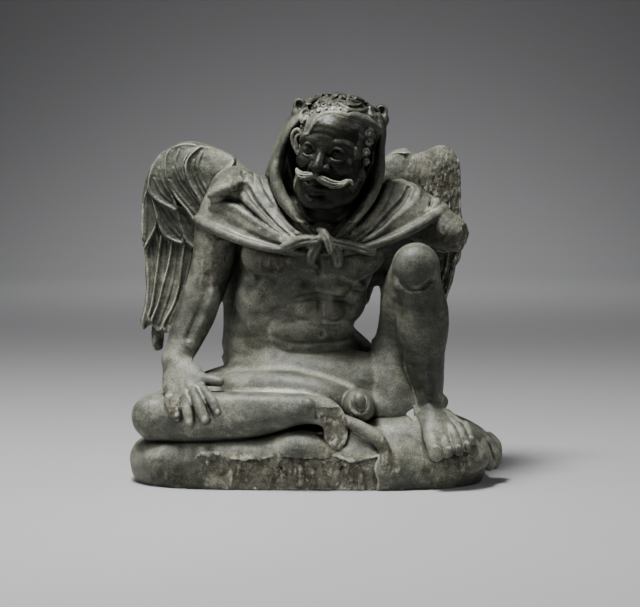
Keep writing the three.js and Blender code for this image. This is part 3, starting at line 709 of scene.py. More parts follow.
# Feathers on the face of the wing, the lowest first: an edge, the lines on it, and its height
RIGHT_FEATHERS = [
    ([[-236, 364], [-246, 344], [-255, 322], [-252, 285], [-255, 248], [-261, 223], [-258, 208],
      [-246, 218], [-239, 248], [-234, 285], [-232, 329]],
     [[[-244, 336], [-243, 285], [-252, 224]]], 1),
    ([[-230, 358], [-234, 329], [-240, 285], [-246, 248], [-251, 229], [-243, 216], [-232, 230],
      [-220, 270], [-215, 311], [-214, 339]],
     [[[-223, 340], [-228, 285], [-242, 228]]], 3),
    ([[-215, 344], [-220, 311], [-229, 278], [-237, 248], [-246, 223], [-234, 207], [-220, 226],
      [-208, 255], [-201, 292], [-196, 329], [-196, 342]],
     [[[-206, 334], [-214, 280], [-234, 220]]], 5),
    ([[-196, 344], [-201, 311], [-205, 278], [-214, 248], [-229, 219], [-220, 206], [-202, 229],
      [-184, 270], [-172, 311], [-160, 336]],
     [[[-184, 330], [-195, 276], [-218, 222]]], 7),
    ([[-249, 423], [-257, 403], [-260, 381], [-260, 356], [-257, 329], [-246, 344], [-236, 364],
      [-234, 388], [-240, 408]],
     [[[-251, 406], [-251, 381], [-254, 344]]], 5),
    ([[-236, 420], [-222, 392], [-205, 372], [-190, 352], [-150, 350], [-130, 380], [-110, 440],
      [-162, 478], [-200, 480], [-228, 456]],
     [], 7),
    ([[-246, 414], [-240, 395], [-236, 376], [-230, 358], [-217, 345], [-196, 339], [-199, 361],
      [-205, 385], [-214, 397], [-232, 406]],
     [[[-229, 390], [-217, 367], [-202, 350]], [[-220, 389], [-209, 370], [-200, 356]]], 8),
    ([[-208, 396], [-204, 373], [-199, 356], [-192, 341], [-177, 331], [-160, 340], [-150, 366],
      [-170, 385], [-190, 394]],
     [[[-196, 382], [-187, 361], [-174, 342]], [[-187, 385], [-177, 364], [-166, 350]]], 10),
    ([[-232, 473], [-242, 454], [-248, 435], [-248, 417], [-236, 403], [-220, 394], [-204, 387],
      [-208, 406], [-216, 425], [-220, 447], [-218, 475]],
     [[[-239, 435], [-230, 417], [-215, 402]], [[-232, 450], [-225, 428], [-212, 408]]], 11),
    ([[-216, 481], [-222, 469], [-223, 450], [-218, 429], [-207, 407], [-192, 389], [-174, 365],
      [-160, 380], [-165, 394], [-179, 414], [-190, 435], [-193, 454], [-187, 469], [-171, 482],
      [-193, 488]],
     [[[-210, 450], [-198, 426], [-183, 406], [-171, 388]], [[-215, 432], [-202, 412], [-186, 393],
      [-172, 376]], [[-202, 476], [-206, 461], [-202, 444], [-195, 432]]], 14),
    ([[-171, 484], [-187, 469], [-193, 453], [-189, 432], [-177, 411], [-162, 390], [-140, 400],
      [-130, 440], [-120, 464], [-149, 480]],
     [[[-168, 473], [-174, 454], [-170, 435], [-159, 415]], [[-179, 461], [-180, 444], [-171, 422],
      [-160, 404]]], 17),
]
LEFT_FEATHERS = [
    ([[192, 330], [189, 310], [180, 280], [168, 251], [176, 250], [186, 262], [200, 300], [204, 330]],
     [], 2),
    ([[204, 330], [200, 304], [192, 276], [184, 250], [192, 252], [201, 280], [208, 308], [212, 334]],
     [], 4),
    ([[84, 452], [110, 474], [140, 474], [176, 484], [196, 480], [209, 462], [212, 400], [211, 340],
      [190, 326], [160, 330], [90, 340]],
     [[[142, 466], [154, 430], [172, 390]], [[160, 470], [171, 444], [184, 398], [190, 350]], [[182, 470],
      [191, 425], [195, 390], [197, 345]]], 6),
]


def outline_distance(outline, x, z):
    """Signed distance in the wing's plane to an outline."""
    closed = spline(list(outline) + [outline[0]], 4)[:-1]
    best = np.full(np.broadcast(x, z).shape, 1e9)
    inside = np.zeros(best.shape, bool)
    for a, b in zip(closed, np.roll(closed, -1, axis=0)):
        best = np.minimum(best, segment_distance(a, b, x, z))
        edge = b - a
        crosses = (a[1] > z) != (b[1] > z)
        steep = edge[1] if abs(edge[1]) > 1e-9 else 1e-9
        inside ^= crosses & (x < a[0] + (z - a[1]) * edge[0] / steep)
    return np.where(inside, -1, 1) * best


def segment_distance(a, b, x, z):
    edge = b - a
    px, pz = x - a[0], z - a[1]
    share = np.clip((px * edge[0] + pz * edge[1]) / max(edge @ edge, 1e-9), 0, 1)
    return np.sqrt((px - share * edge[0]) ** 2 + (pz - share * edge[1]) ** 2)


def line_distance(line, x, z):
    fine = spline(line, 5)
    return np.min([segment_distance(a, b, x, z) for a, b in zip(fine, fine[1:])], axis=0)


def bell(away, width):
    return np.exp(-((away / width) ** 2))


def feather_height(feathers, x, z, soft):
    """How far the feathers stand out of the wing's face, each laid over those before it."""
    height = np.zeros(np.broadcast(x, z).shape)
    for edge, lines, out in feathers:
        distance = outline_distance(edge, x, z)
        rim = FEATHER["rim"] * bell(distance + FEATHER["rim_in"], FEATHER["rim_width"])
        leaf = out + rim - FEATHER["fall"] * np.clip(-distance / FEATHER["fall_over"], 0, 1)
        for line in lines:
            away = line_distance(line, x, z)
            leaf = leaf + FEATHER["shaft"] * bell(away, FEATHER["shaft_width"])
            leaf = leaf - FEATHER["groove"] * bell(away - FEATHER["groove_off"], FEATHER["shaft_width"])
        share = np.clip(0.5 - distance / soft, 0, 1)
        height = height * (1 - share) + leaf * share
    return height


# A leaf of the backs: its width as a share of its row's spacing, how that narrows from root to tip, and how
# far every second one stands out more
LEAF = {"width": 0.62, "narrows": ((0, 0.9), (0.5, 1.0), (0.85, 0.7), (1.0, 0.0)), "over": 1.2}


def leaf_rows(rows):
    """Rows of leaves between a line of roots and a line of tips, for the backs of the wings."""
    feathers = []
    for count, roots, tips, out in rows:
        roots, tips = np.array(roots, float), np.array(tips, float)
        span = LEAF["width"] * (roots[1] - roots[0]) / count
        for number in range(count):
            share = (number + 0.5) / count
            root = roots[0] * (1 - share) + roots[1] * share
            tip = tips[0] * (1 - share) + tips[1] * share
            left = [root * (1 - a) + tip * a - span * s for a, s in LEAF["narrows"]]
            right = [root * (1 - a) + tip * a + span * s for a, s in LEAF["narrows"][:-1]]
            shaft = np.array([root, root * 0.1 + tip * 0.9])
            feathers.append((left + right[::-1], [shaft], out + LEAF["over"] * (number % 2)))
    return feathers


BACK_RIGHT = leaf_rows([
    (6, [[-256, 352], [-170, 352]], [[-258, 224], [-210, 224]], 1),
    (6, [[-254, 400], [-160, 400]], [[-256, 322], [-164, 322]], 4),
    (6, [[-242, 452], [-140, 452]], [[-248, 374], [-150, 374]], 7),
])
BACK_LEFT = leaf_rows([
    (4, [[166, 350], [210, 350]], [[172, 262], [198, 262]], 1),
    (5, [[140, 410], [210, 410]], [[146, 326], [208, 326]], 4),
    (5, [[120, 462], [206, 462]], [[132, 384], [208, 384]], 7),
])


def carve_wing(stone, outline, front, back, worn):
    """A wing from its outline, its feathers in front and at the back, and how chipped its edge is."""
    low = np.min(outline, axis=0) - WING["margin"]
    high = np.max(outline, axis=0) + WING["margin"]

    def distance(axes):
        x, y, z = axes
        flat_x, flat_z = x[:, 0, :], z[0]
        flat = outline_distance(outline, flat_x, flat_z)
        chips = worn * np.maximum(rough([flat_x, 0 * flat_x, flat_z], WING["chip"], 3), -WING["out"])
        rise = np.clip((flat_z - WING["swell_from"]) / WING["swell_over"], 0, 1)
        swell = WING["swell"] * rise * np.clip(-flat / WING["swell_in"], 0, 1) ** 0.6
        ahead = feather_height(front, flat_x, flat_z, stone.voxel) + swell
        behind = feather_height(back, flat_x, flat_z, stone.voxel) + 0.5 * swell
        flat = (flat + WING["round"] + chips)[:, None, :]
        deep = np.maximum(WING["front"] - ahead[:, None, :] - y, y - WING["back"] - behind[:, None, :])
        deep = deep + WING["round"]
        outside = np.sqrt(np.maximum(flat, 0) ** 2 + np.maximum(deep, 0) ** 2)
        return np.minimum(np.maximum(flat, deep), 0) + outside - WING["round"]

    near, far = WING["front"] - WING["ahead"], WING["back"] + WING["behind"]
    stone.custom([low[0], near, low[1]], [high[0], far, high[1]], distance, blend=0)


# Ground

GROUND_AXIS = [-4, -8]
# How square the ground's outline is (1 is an oval, less is squarer), and how uneven: height, size and seed
GROUND = {"square": 0.72, "uneven": 1.2, "size": 45, "seed": 5}
GROUND_ROWS = [
    {"reach": [256, 240, 114, 108], "height": [-8, -8, -8, -8]},
    {"reach": [266, 250, 127, 115], "height": [20, 22, 18, 22]},
    {"reach": [264, 246, 126, 112], "height": [46, 44, 46, 44]},
    {"reach": [244, 226, 112, 96], "height": [66, 60, 66, 66]},
    {"reach": [160, 160, 74, 60], "height": [78, 70, 84, 84]},
]
# The break along the front: its ends, face and ledge, and the height and spacing of the pick marks on it
BREAK = {"from": -170, "to": 86, "face": -121, "ledge": 45, "pick": 1.6, "pitch": 2.6}
# How far past its ends, its ledge and the underside the break's box reaches, and where it lies along Y
BREAK_BOX = {"side": 12, "above": 22, "below": 12, "front": -150, "back": -96}
# How uneven the break is: height, size and seed of the noise on each part of it
UNEVEN = {
    "face": (5, 24, 11), "ledge": (2, 9, 13), "steps": (7, 34, 8), "ends": (5, 18, 15), "waves": (3, 40, 4),
}
FRONT_ROCK = [
    [-226, -78, 34, 22, 20], [-170, -98, 38, 22, 19], [-110, -104, 46, 22, 20], [-60, -106, 52, 22, 20],
]
MOUND = [
    [-104, -106, 40, 20], [-64, -112, 50, 22], [-24, -118, 62, 23], [4, -120, 56, 20], [20, -116, 44, 18],
]
LOBE = [
    [42, -116, 98, 9], [66, -121, 88, 9], [88, -125, 74, 9], [100, -126, 56, 8], [103, -125, 40, 8],
    [97, -123, 24, 8], [84, -121, 12, 8],
]
PAW_LEG = [
    [176, -30, 88, 16, 24], [204, -34, 78, 16, 24], [228, -36, 67, 15, 22], [246, -36, 54, 12, 20],
    [250, -36, 40, 11, 20],
]
PAW_TOES = [
    [[222, -56, 68, 8], [236, -62, 57, 9], [243, -65, 41, 9], [247, -63, 28, 8.5]],
    [[239, -45, 67, 8], [251, -49, 55, 8.5], [257, -52, 39, 8.5], [256, -52, 28, 8]],
    [[249, -24, 63, 8], [259, -29, 53, 8], [261, -32, 39, 7.5], [260, -32, 29, 7.5]],
]
# Small breaks along the lower edge: middle and size
CHIPS = [(-200, -112, 8, 16), (-236, -96, 6, 12), (-150, -126, 34, 10), (150, -122, 6, 9), (210, -110, 4, 12)]


def uneven(kind, places, part):
    height, size, seed = UNEVEN[part]
    return height * kind(places, size, seed)


def carve_ground(stone):
    stone.form(
        shell_rings(GROUND_ROWS, GROUND_AXIS, 160, square=GROUND["square"]),
        blend=4,
        spread=lambda axes: GROUND["uneven"] * rough(axes, GROUND["size"], GROUND["seed"]),
    )
    stone.limb(FRONT_ROCK, blend=10)
    stone.limb(MOUND, blend=5)
    stone.blobs([
        ([128, -50, 64], [112, 66, 42], 10),
        ([186, -84, 40], [60, 34, 30], 12),
        ([62, -104, 52], [42, 20, 42], 6),
    ])
    stone.limb(LOBE, blend=2.5)
    stone.limb([[112, -128, 86, 3.5], [108, -132, 60, 4], [112, -132, 34, 3.5]], blend=5, cut=True)
    stone.limb(PAW_LEG, blend=5)
    for toe in PAW_TOES:
        stone.limb(toe, blend=1.5)
    open_gap(stone, ANKLE_GAP)

    def broken(axes):
        x, y, z = axes
        waves = np.sin(x / BREAK["pitch"] + uneven(noise, [x, 0 * y, z], "waves"))
        picks = BREAK["pick"] * waves * (noise(axes, 24, 6) > -0.2)
        face = BREAK["face"] + uneven(rough, axes, "face") + picks
        ledge = BREAK["ledge"] + uneven(noise, [x, 0 * y, 0 * z], "steps") + uneven(rough, axes, "ledge")
        ends = np.maximum(BREAK["from"] - x, x - BREAK["to"]) + uneven(noise, axes, "ends")
        return np.maximum(np.maximum(y - face, z - ledge), ends)

    low = [BREAK["from"] - BREAK_BOX["side"], BREAK_BOX["front"], -BREAK_BOX["below"]]
    high = [BREAK["to"] + BREAK_BOX["side"], BREAK_BOX["back"], BREAK["ledge"] + BREAK_BOX["above"]]
    stone.custom(low, high, broken, blend=2, cut=True)
    for *middle, size in CHIPS:
        stone.blob(middle, [size, size * 0.6, size * 0.8], blend=3, cut=True)
    flat_bottom(stone)


# Broken places, openings and the flat underside

# The three gaps: outlines as pixels [across, down] of the photograph, and the box that each is cut in
ARM_GAP = {
    "outline": [
        [198, 377], [206, 370], [212, 368], [216.5, 364], [216.5, 361], [223, 354], [221.5, 344], [223, 330],
        [223, 306], [220.5, 303], [213, 323], [200, 347], [190, 366],
    ],
    "low": [-205, -70, 140], "high": [-130, 124, 264],
}
KNEE_GAP = {
    "outline": [[374.5, 286], [380, 287.5], [380, 313], [374.5, 338], [362, 330], [356.5, 327], [366.7, 308]],
    "low": [48, -70, 192], "high": [100, 124, 292],
}
ANKLE_GAP = {
    "outline": [[414.4, 408], [406.5, 414.5], [411, 418.5], [414.4, 425]],
    "low": [112, -90, 80], "high": [152, 124, 140],
}
# How far to each side, below and above the underside is cut flat, and the level that the figure goes down to
FLAT = {"side": 300, "below": 30, "above": 6, "figure": 6.0}
# Parts broken off: the box, the plane's normal and level, and the size and seed of its roughness
SNAPS = [
    ([190, -60, 300], [240, 40, 400], [0.93, -0.3, -0.2], 131, 14, 21),
    ([0, -160, 30], [60, -100, 118], [0.25, -0.96, 0.02], 134, 11, 22),
]
SNAP_ROUGH = 2.4


def flat_bottom(stone, level=0.0):
    low = [-FLAT["side"], -FLAT["side"], level - FLAT["below"]]
    high = [FLAT["side"], FLAT["side"], level + FLAT["above"]]
    stone.custom(low, high, lambda axes: 0 * axes[0] + 0 * axes[1] + axes[2] - level, blend=0, cut=True)


def snap_off(stone, low, high, normal, level, size, seed):
    """Takes off what lies beyond a rough plane."""
    normal = unit(np.array(normal, float))

    def beyond(axes):
        along = sum(n * a for n, a in zip(normal, axes))
        return level + SNAP_ROUGH * rough(axes, size, seed) - along

    stone.custom(low, high, beyond, blend=1.5, cut=True)


def open_gap(stone, gap):
    """Cuts an opening with an outline in the photograph's plane, along the lines of sight."""
    eye_x, eye_y, eye_z = CAMERA["at"]
    across, down = CAMERA["ahead"]

    def inside(axes):
        x, y, z = axes
        scale = (y - eye_y) / CAMERA["focal"]
        u = across + (x - eye_x) / scale
        v = down - (z - eye_z) / scale
        return outline_distance(gap["outline"], u, v) * scale

    stone.custom(gap["low"], gap["high"], inside, blend=2, cut=True)


def carve_breaks(stone):
    for gap in (ARM_GAP, KNEE_GAP, ANKLE_GAP):
        open_gap(stone, gap)
    for snap in SNAPS:
        snap_off(stone, *snap)
    flat_bottom(stone, FLAT["figure"])


def carve_figure(stone):
    carve_trunk(stone)
    carve_arms(stone)
    carve_legs(stone)
    carve_groin(stone)
    carve_cape(stone)
    carve_knot(stone)
    carve_breaks(stone)


# Head, in the lion's scalp that is drawn over it like a hood

HEAD = {"at": [25, -62, 465], "nod": 6, "turn": -17, "lean": 10, "scale": 1.06}
HOOD = [
    [31, -42, 515, 58, 42], [25, -26, 494, 72, 56], [16, -10, 464, 79, 58], [10, 10, 432, 86, 54],
]
HOOD_RIMS = [
    [[-12, -58, 532, 8, 18], [-28, -56, 516, 9, 22], [-42, -50, 494, 9, 24], [-53, -44, 466, 9, 24],
     [-57, -48, 440, 9, 22], [-50, -60, 414, 9, 16], [-34, -72, 391, 8, 10], [-14, -82, 372, 6, 7]],
    [[88, -50, 526, 7, 20], [93, -48, 504, 7, 22], [91, -46, 478, 7, 22], [90, -48, 448, 8, 20],
     [82, -60, 420, 8, 15], [66, -72, 394, 7, 10], [46, -84, 372, 5, 7]],
]
HOLLOW_FRONT = [
    [14, -122, 404, 58, 60], [17, -104, 436, 63, 60], [19, -100, 463, 65, 62], [24, -98, 488, 61, 56],
    [30, -94, 500, 54, 44],
]
HOLLOW_DEEP = [
    [16, -62, 420, 56, 30], [18, -62, 463, 62, 37], [24, -62, 488, 59, 36], [30, -66, 500, 52, 32],
]


def carve_hood(stone):
    stone.limb(HOOD, blend=2, steps=4, blunt=0.9)
    stone.blob([32, -50, 510], [60, 62, 45], blend=6)
    for rim in HOOD_RIMS:
        stone.limb(rim, blend=6)
    stone.limb(HOLLOW_FRONT, blend=3, cut=True, blunt=0.35)
    stone.limb(HOLLOW_DEEP, blend=3, cut=True, blunt=0.45)


FACE = [
    [0, -4, 50, 34, 39], [0, -12, 28, 41, 46], [0, -13, 2, 41, 47], [0, -15, -24, 38, 42],
    [0, -20, -46, 27, 31],
]
EYE = {"x": 18.5, "y": -46, "z": 13}
# Lines of the face on the side of positive X, those of the lids counted from the eye's middle across
JAW = [[38, 2, -16, 9], [33, -20, -40, 11], [14, -38, -55, 10]]
BROW = [[38, -34, 20, 3], [29, -46, 26, 3.8], [18, -52.5, 26, 4.2], [6, -54, 21, 3.5]]
UPPER_LID = [[-11, -52, 11, 1.3], [-4, -56, 20, 1.7], [5, -54.5, 20.5, 1.7], [13, -44, 12.5, 1.3]]
LOWER_LID = [[-11, -51.5, 10, 1.1], [-2, -55, 5, 1.4], [7, -52, 5.5, 1.4], [13, -44, 11.5, 1.1]]
CHEEK_LINE = [[14, -56, -6, 1.5], [24, -49, -19, 2]]


def sided(stations, side, middle=0.0):
    """Stations on one side (1 or -1), counted from a middle."""
    return [[middle + side * x, *rest] for x, *rest in stations]


def carve_face(stone):
    stone.blob([0, 10, 22], [45, 54, 52], blend=4)
    stone.limb(FACE, blend=8, blunt=0.45)
    stone.limb([[0, 0, -30, 34, 32], [-8, 24, -76, 42, 38]], blend=12)
    stone.blobs([
        ([0, -24, -38], [34, 31, 21], 10),
        ([0, -47, -54], [15, 12, 11], 8),
        ([0, -24, 42], [35, 33, 24], 8),
    ])
    for side in (-1, 1):
        x = EYE["x"] * side
        stone.blob([26 * side, -38, -3], [13, 12, 12], blend=9)
        stone.limb(sided(JAW, side), blend=10)
        stone.blob([x + side, -60, EYE["z"]], [13.5, 9.5, 8.5], blend=5, cut=True)
        stone.limb(sided(BROW, side), blend=6)
    stone.limb([[0, -50, 27, 5.6], [0, -57, 12, 5.8], [0, -64, -1, 7.2], [0, -66, -7, 8.6]], blend=3.5)
    for side in (-1, 1):
        x = EYE["x"] * side
        stone.blob([x, EYE["y"], EYE["z"]], [12.5, 9.5, 9.5], blend=1)
        stone.limb(sided(UPPER_LID, side, x), blend=0.8)
        stone.limb(sided(LOWER_LID, side, x), blend=0.8)
        stone.blob([x, EYE["y"] - 10, EYE["z"] - 0.5], [2.8, 1.8, 2.8], blend=1, cut=True)
        stone.blob([9.5 * side, -59, -8], [6, 7, 6], blend=2)
        stone.blob([5 * side, -65, -14], [3, 4, 2.4], blend=1.5, cut=True)
        stone.limb(sided(CHEEK_LINE, side), blend=5, cut=True)
    stone.limb([[-13, -49, -35, 3.5], [0, -57, -36, 5], [13, -49, -35, 3.5]], blend=3)
    stone.limb([[-16, -50, -30.5, 1.4], [0, -60, -31, 1.8], [16, -50, -30.5, 1.4]], blend=2, cut=True)
    stone.limb([[-10, -54, -43, 2], [0, -58, -44, 2.5], [10, -54, -43, 2]], blend=5, cut=True)
    for level, bend in ((36, 1.5), (44, 2.5)):
        furrow = [[-20, -55, level - bend, 1.0], [0, -60, level + bend, 1.3], [20, -55, level - bend, 1.0]]
        stone.limb(furrow, blend=4, cut=True)


MOUSTACHE = [
    [[-1, -66, -17, 3.6], [-11, -66, -20, 5.6], [-21, -60, -21.5, 5.4], [-29, -52, -20, 4],
     [-34, -46, -17, 2.4]],
    [[1, -66, -18, 3.8], [11, -66, -22, 5.6], [22, -60, -26, 5.6], [31, -52, -25, 4.2], [37, -45, -20, 3],
     [41, -41, -20, 2.2], [43, -38, -24, 1.8]],
]
# The grooves between its hairs, in shares of its half width: their heights, how far out, and half width
HAIRS = {"lifts": (-0.6, 0.0, 0.6), "out": 1.05, "half": 0.18, "stations": 5}


def carve_moustache(stone):
    for line in MOUSTACHE:
        stone.limb(line, blend=1.2)
    for line in MOUSTACHE:
        for lift in HAIRS["lifts"]:
            out = HAIRS["out"] * math.sqrt(1 - lift**2)
            groove = [
                [x, y - out * r, z + lift * r, HAIRS["half"] * r] for x, y, z, r in line[:HAIRS["stations"]]
            ]
            stone.limb(groove, blend=0.8, cut=True)


# A snail curl: its stations, the turn from each to the next, and in shares of its radius how far out it
# winds, how much of that is lost at each station, its half width, how that shrinks, and how deep it sits
CURL = {"stations": 9, "turn": 0.8, "reach": 0.66, "lost": 0.1, "half": 0.34, "shrinks": 0.018, "deep": 0.6}


def curl(stone, centre, outward, radius, twist=1.0):
    """A snail curl: a raised coil round a small pit."""
    outward = unit(np.array(outward, float))
    side = unit(np.cross(UP + 0.01 * FRONT, outward))
    rise = np.cross(outward, side)
    centre = np.array(centre, float)
    line = []
    for step in range(CURL["stations"]):
        angle = twist * step * CURL["turn"]
        reach = radius * (1.0 - CURL["lost"] * step) * CURL["reach"]
        spot = centre + reach * (math.cos(angle) * side + math.sin(angle) * rise) + outward * 0.4 * step
        line.append([*spot, radius * (CURL["half"] - CURL["shrinks"] * step)])
    stone.blob(centre - outward * radius * CURL["deep"], [radius] * 3, blend=1.5)
    stone.limb(line, blend=0.7, steps=2)


def carve_hair(stone):
    """Curls at the temples, two on one side and four on the other."""
    for number, z in enumerate((48, 37)):
        curl(stone, [-41, -28 + 4 * number, z], [-1, -0.8, 0], 8, -1)
    for number, z in enumerate((44, 31, 18, 5)):
        curl(stone, [46 + 1.2 * (number % 2), -14 + 3 * (number % 2), z], [0.8, -1, 0], 8.6 - 0.5 * number)


EAR = {"start": [-17, -85, 487], "out": [-0.96, 0.26, -0.05], "face": [-0.26, -0.96, 0.0]}


def carve_ear(stone):
    """An ear that stands out, written as steps outward and steps up from where it starts."""
    start = np.array(EAR["start"], float)
    out = unit(np.array(EAR["out"]))
    face = unit(np.array(EAR["face"]))

    def spot(along, up, lift=0.0):
        return start + out * along + UP * up + face * lift

    frame_turn = np.stack([out, face, UP], axis=1)
    stone.blob(spot(-2, 0, -9), [12, 9, 15], frame_turn, blend=4)
    stone.blob(spot(7, 2, -3), [11, 5, 18], frame_turn, blend=3)
    stone.blob(spot(8, 3, 3), [5.5, 5, 10], frame_turn, blend=1.5, cut=True)
    rim = [(0, 2), (2, 12), (8, 20), (15, 17), (17, 7), (13, -6), (7, -16), (3, -17)]
    stone.limb([[*spot(a, b, 0.5), 2.7] for a, b in rim], blend=1.0)
    inner = [(5, 13), (10, 11), (11, 3), (8, -5)]
    stone.limb([[*spot(a, b, 0.5), 1.9] for a, b in inner], blend=1.0)
    stone.blob(spot(4, -13, 0), [4, 3.5, 5], frame_turn, blend=2)
    stone.blob(spot(1, -1, 0.5), [3, 2.5, 4], frame_turn, blend=1.5)


LION_EARS = [([-23, -50, 540], -1), ([92, -46, 531], 1)]
# The lion's brow as points [x, z, half width]: the scalp's edge, and the grooves and folds round its eyes
# with how far each stands out, its blend and whether it is cut
SCALP_EDGE = [
    [-10, 500, 3], [-5, 509, 3], [0, 520, 3], [12, 528, 3], [27, 529.5, 3], [43, 526, 4], [58, 524, 6.5],
    [72, 518, 7.5], [84, 508, 7],
]
SCALP_FOLDS = [
    ([[36, 546, 3], [50, 538, 4.5], [64, 538, 4.5], [76, 543, 3]], 0.5, 1.5, True),
    ([[34, 542, 2.5], [48, 533, 4], [62, 532, 4], [78, 536, 3]], -0.5, 1.2, False),
    ([[46, 553, 2.5], [60, 549, 3.5], [74, 540, 3.5], [84, 526, 3]], -0.5, 2, False),
    ([[-20, 530, 2.5], [-11, 535, 3.5], [-4, 541, 2.5]], 0.5, 1.5, True),
    ([[-26, 518, 3], [-16, 538, 3.5], [-4, 548, 3.5], [8, 554, 2.5]], -0.5, 2, False),
]
# Two rows of curls over the edge: how many, where they start, and the steps between curls and rows
BROW_CURLS = {"count": 6, "x": -4, "z": 534.5, "apart": 9.5, "shift": 5, "up": 7, "middle": 24, "radius": 6.2}
# Locks from the brow to the crown, in degrees round the head's middle, and their half widths
MANE = {
    "count": 23, "from": -56, "apart": 5.2, "steps": 9, "rise": 47, "step": 12, "sway": 0.2,
    "middle": [31, -34, 500], "raised": 2.9, "cut": 2.0,
}


def carve_scalp(stone):
    """The lion's scalp: the rim over the brow, its curls, mane and eyes."""
    stone.fold(SCALP_EDGE, 0.5, blend=2)
    for row in range(2):
        for number in range(BROW_CURLS["count"] - row):
            x = BROW_CURLS["x"] + BROW_CURLS["apart"] * number + BROW_CURLS["shift"] * row
            z = BROW_CURLS["z"] + BROW_CURLS["up"] * row - 0.006 * (x - BROW_CURLS["middle"]) ** 2
            spot = stone.drape([[x, z, 5], [x, z, 5]])[0]
            twist = 1 if (number + row) % 2 else -1
            curl(stone, spot[:3], [(x - 28) / 60, -1, 0.5 + 0.3 * row], BROW_CURLS["radius"], twist)
    locks = []
    for number in range(MANE["count"]):
        lock = []
        for step in range(MANE["steps"] - abs(number - MANE["count"] // 2) // 3):
            rise = math.radians(MANE["rise"] + MANE["step"] * step)
            sway = math.radians(MANE["from"] + MANE["apart"] * number)
            sway += MANE["sway"] * math.sin(1.9 * step + 0.7 * number)
            level = math.sin(rise)
            aim = np.array([math.sin(sway) * level, -math.cos(rise), math.cos(sway) * level])
            lock.append([*(radial(stone, MANE["middle"], aim) + 0.3 * aim), MANE["raised"]])
        locks.append(lock)
    for lock in locks[::2]:
        stone.limb(lock, blend=0.8, steps=2)
    for lock in locks[1::2]:
        stone.limb([[*station[:3], MANE["cut"]] for station in lock], blend=1, steps=2, cut=True)
    for line, out, blend, cut in SCALP_FOLDS:
        stone.fold(line, out, blend, cut)


# The ray that finds the stone's outermost point, in millimetres
RAY = {"from": 4.0, "to": 96.0, "step": 0.8}


def radial(stone, centre, aim):
    """The outermost point of the stone in a direction from a point inside it."""
    centre = np.array(centre)
    reach = np.arange(RAY["from"], RAY["to"], RAY["step"])
    inside = stone.sample(centre + reach[:, None] * aim) < 0
    return centre + reach[len(reach) - 1 - np.argmax(inside[::-1])] * aim


def carve_lion_ears(stone):
    for centre, outward in LION_EARS:
        lean = turned(0, 14 * outward, 18 * outward)
        stone.blob(np.array(centre) + [0, 4, -10], [12, 12, 11], blend=6)
        stone.blob(centre, [10, 8, 12], lean, blend=2)
        stone.blob(np.array(centre) + [outward, -8, 1], [6, 6, 8], lean, blend=1.5, cut=True)


def carve_head(stone):
    carve_hood(stone)
    stone.stand(turned(HEAD["nod"], HEAD["turn"], HEAD["lean"]), HEAD["at"], HEAD["scale"])
    carve_face(stone)
    carve_hair(stone)
    carve_moustache(stone)
    stone.stand()
    carve_ear(stone)
    carve_scalp(stone)
    carve_lion_ears(stone)


# From field to mesh


# Roughness of the surface in layers of height, size and seed: everywhere, and on broken stone
ROUGH = [(0.22, 7, 31), (0.11, 2.6, 41)]
BROKEN_ROUGH = [(1.2, 6, 31), (0.9, 2.8, 41)]
# How the streaks on broken stone are drawn out: less change along Z
STREAK = np.array([1.0, 1.0, 0.4])


def layered(places, layers):
    return sum(height * rough(places, size, seed) for height, size, seed in layers)


def roughen(stone, points):
    """Moves surface points in and out a little, more where the stone is broken or worn."""
    height = layered(points.T, ROUGH)
    height += broken_share(points) * layered(points.T * STREAK[:, None], BROKEN_ROUGH)
    return points + stone.normals(points) * height[:, None]


# Broken and worn places: middle, reach, and how strong
BROKEN = [
    ([-60, -128, 26], [130, 20, 26], 1.0),
    ([40, -128, 24], [50, 20, 26], 1.0),
    ([28, -138, 80], [22, 14, 40], 1.0),
    ([100, -130, 50], [14, 14, 40], 0.7),
    ([214, -14, 350], [18, 34, 34], 1.0),
    ([184, -20, 352], [40, 30, 30], 0.5),
    ([-200, -118, 118], [14, 14, 24], 1.0),
    ([-208, -100, 130], [12, 14, 14], 0.8),
    ([176, 44, 420], [44, 22, 80], 0.65),
    ([190, 44, 286], [30, 20, 40], 0.8),
    ([-150, -36, 316], [26, 20, 34], 0.5),
    ([-66, -76, 320], [32, 16, 20], 0.7),
    ([66, -76, 318], [22, 16, 18], 0.4),
    ([-237, 62, 190], [14, 20, 22], 1.0),
    ([-108, -62, 420], [14, 12, 18], 0.7),
    ([200, -112, 34], [60, 24, 28], 0.6),
    ([198, -126, 64], [26, 12, 14], 0.55),
    ([-190, -110, 22], [60, 24, 20], 0.6),
    ([150, -110, 318], [14, 14, 18], 0.3),
    ([30, -96, 552], [60, 40, 14], 0.35),
]


# How far the broken places reach in their own reaches, and how uneven their edges are: share, size and seed
BROKEN_EDGE = {"to": 1.6, "uneven": 0.35, "size": 16, "seed": 51}


def steps_away(points, middle, reach):
    """How far points are from a middle, counted in reaches along each axis."""
    return np.sqrt((((points - middle) / reach) ** 2).sum(1))


def broken_share(points):
    """0 on smooth stone to 1 on broken stone."""
    total = np.zeros(len(points))
    uneven = BROKEN_EDGE["uneven"] * noise(points.T, BROKEN_EDGE["size"], BROKEN_EDGE["seed"])
    for middle, reach, strength in BROKEN:
        share = BROKEN_EDGE["to"] - steps_away(points, middle, reach) - uneven
        total = np.maximum(total, strength * np.clip(share, 0, 1))
    return total


def link(name, data):
    """An object of the scene that holds the data."""
    made = bpy.data.objects.new(name, data)
    bpy.context.scene.collection.objects.link(made)
    return made


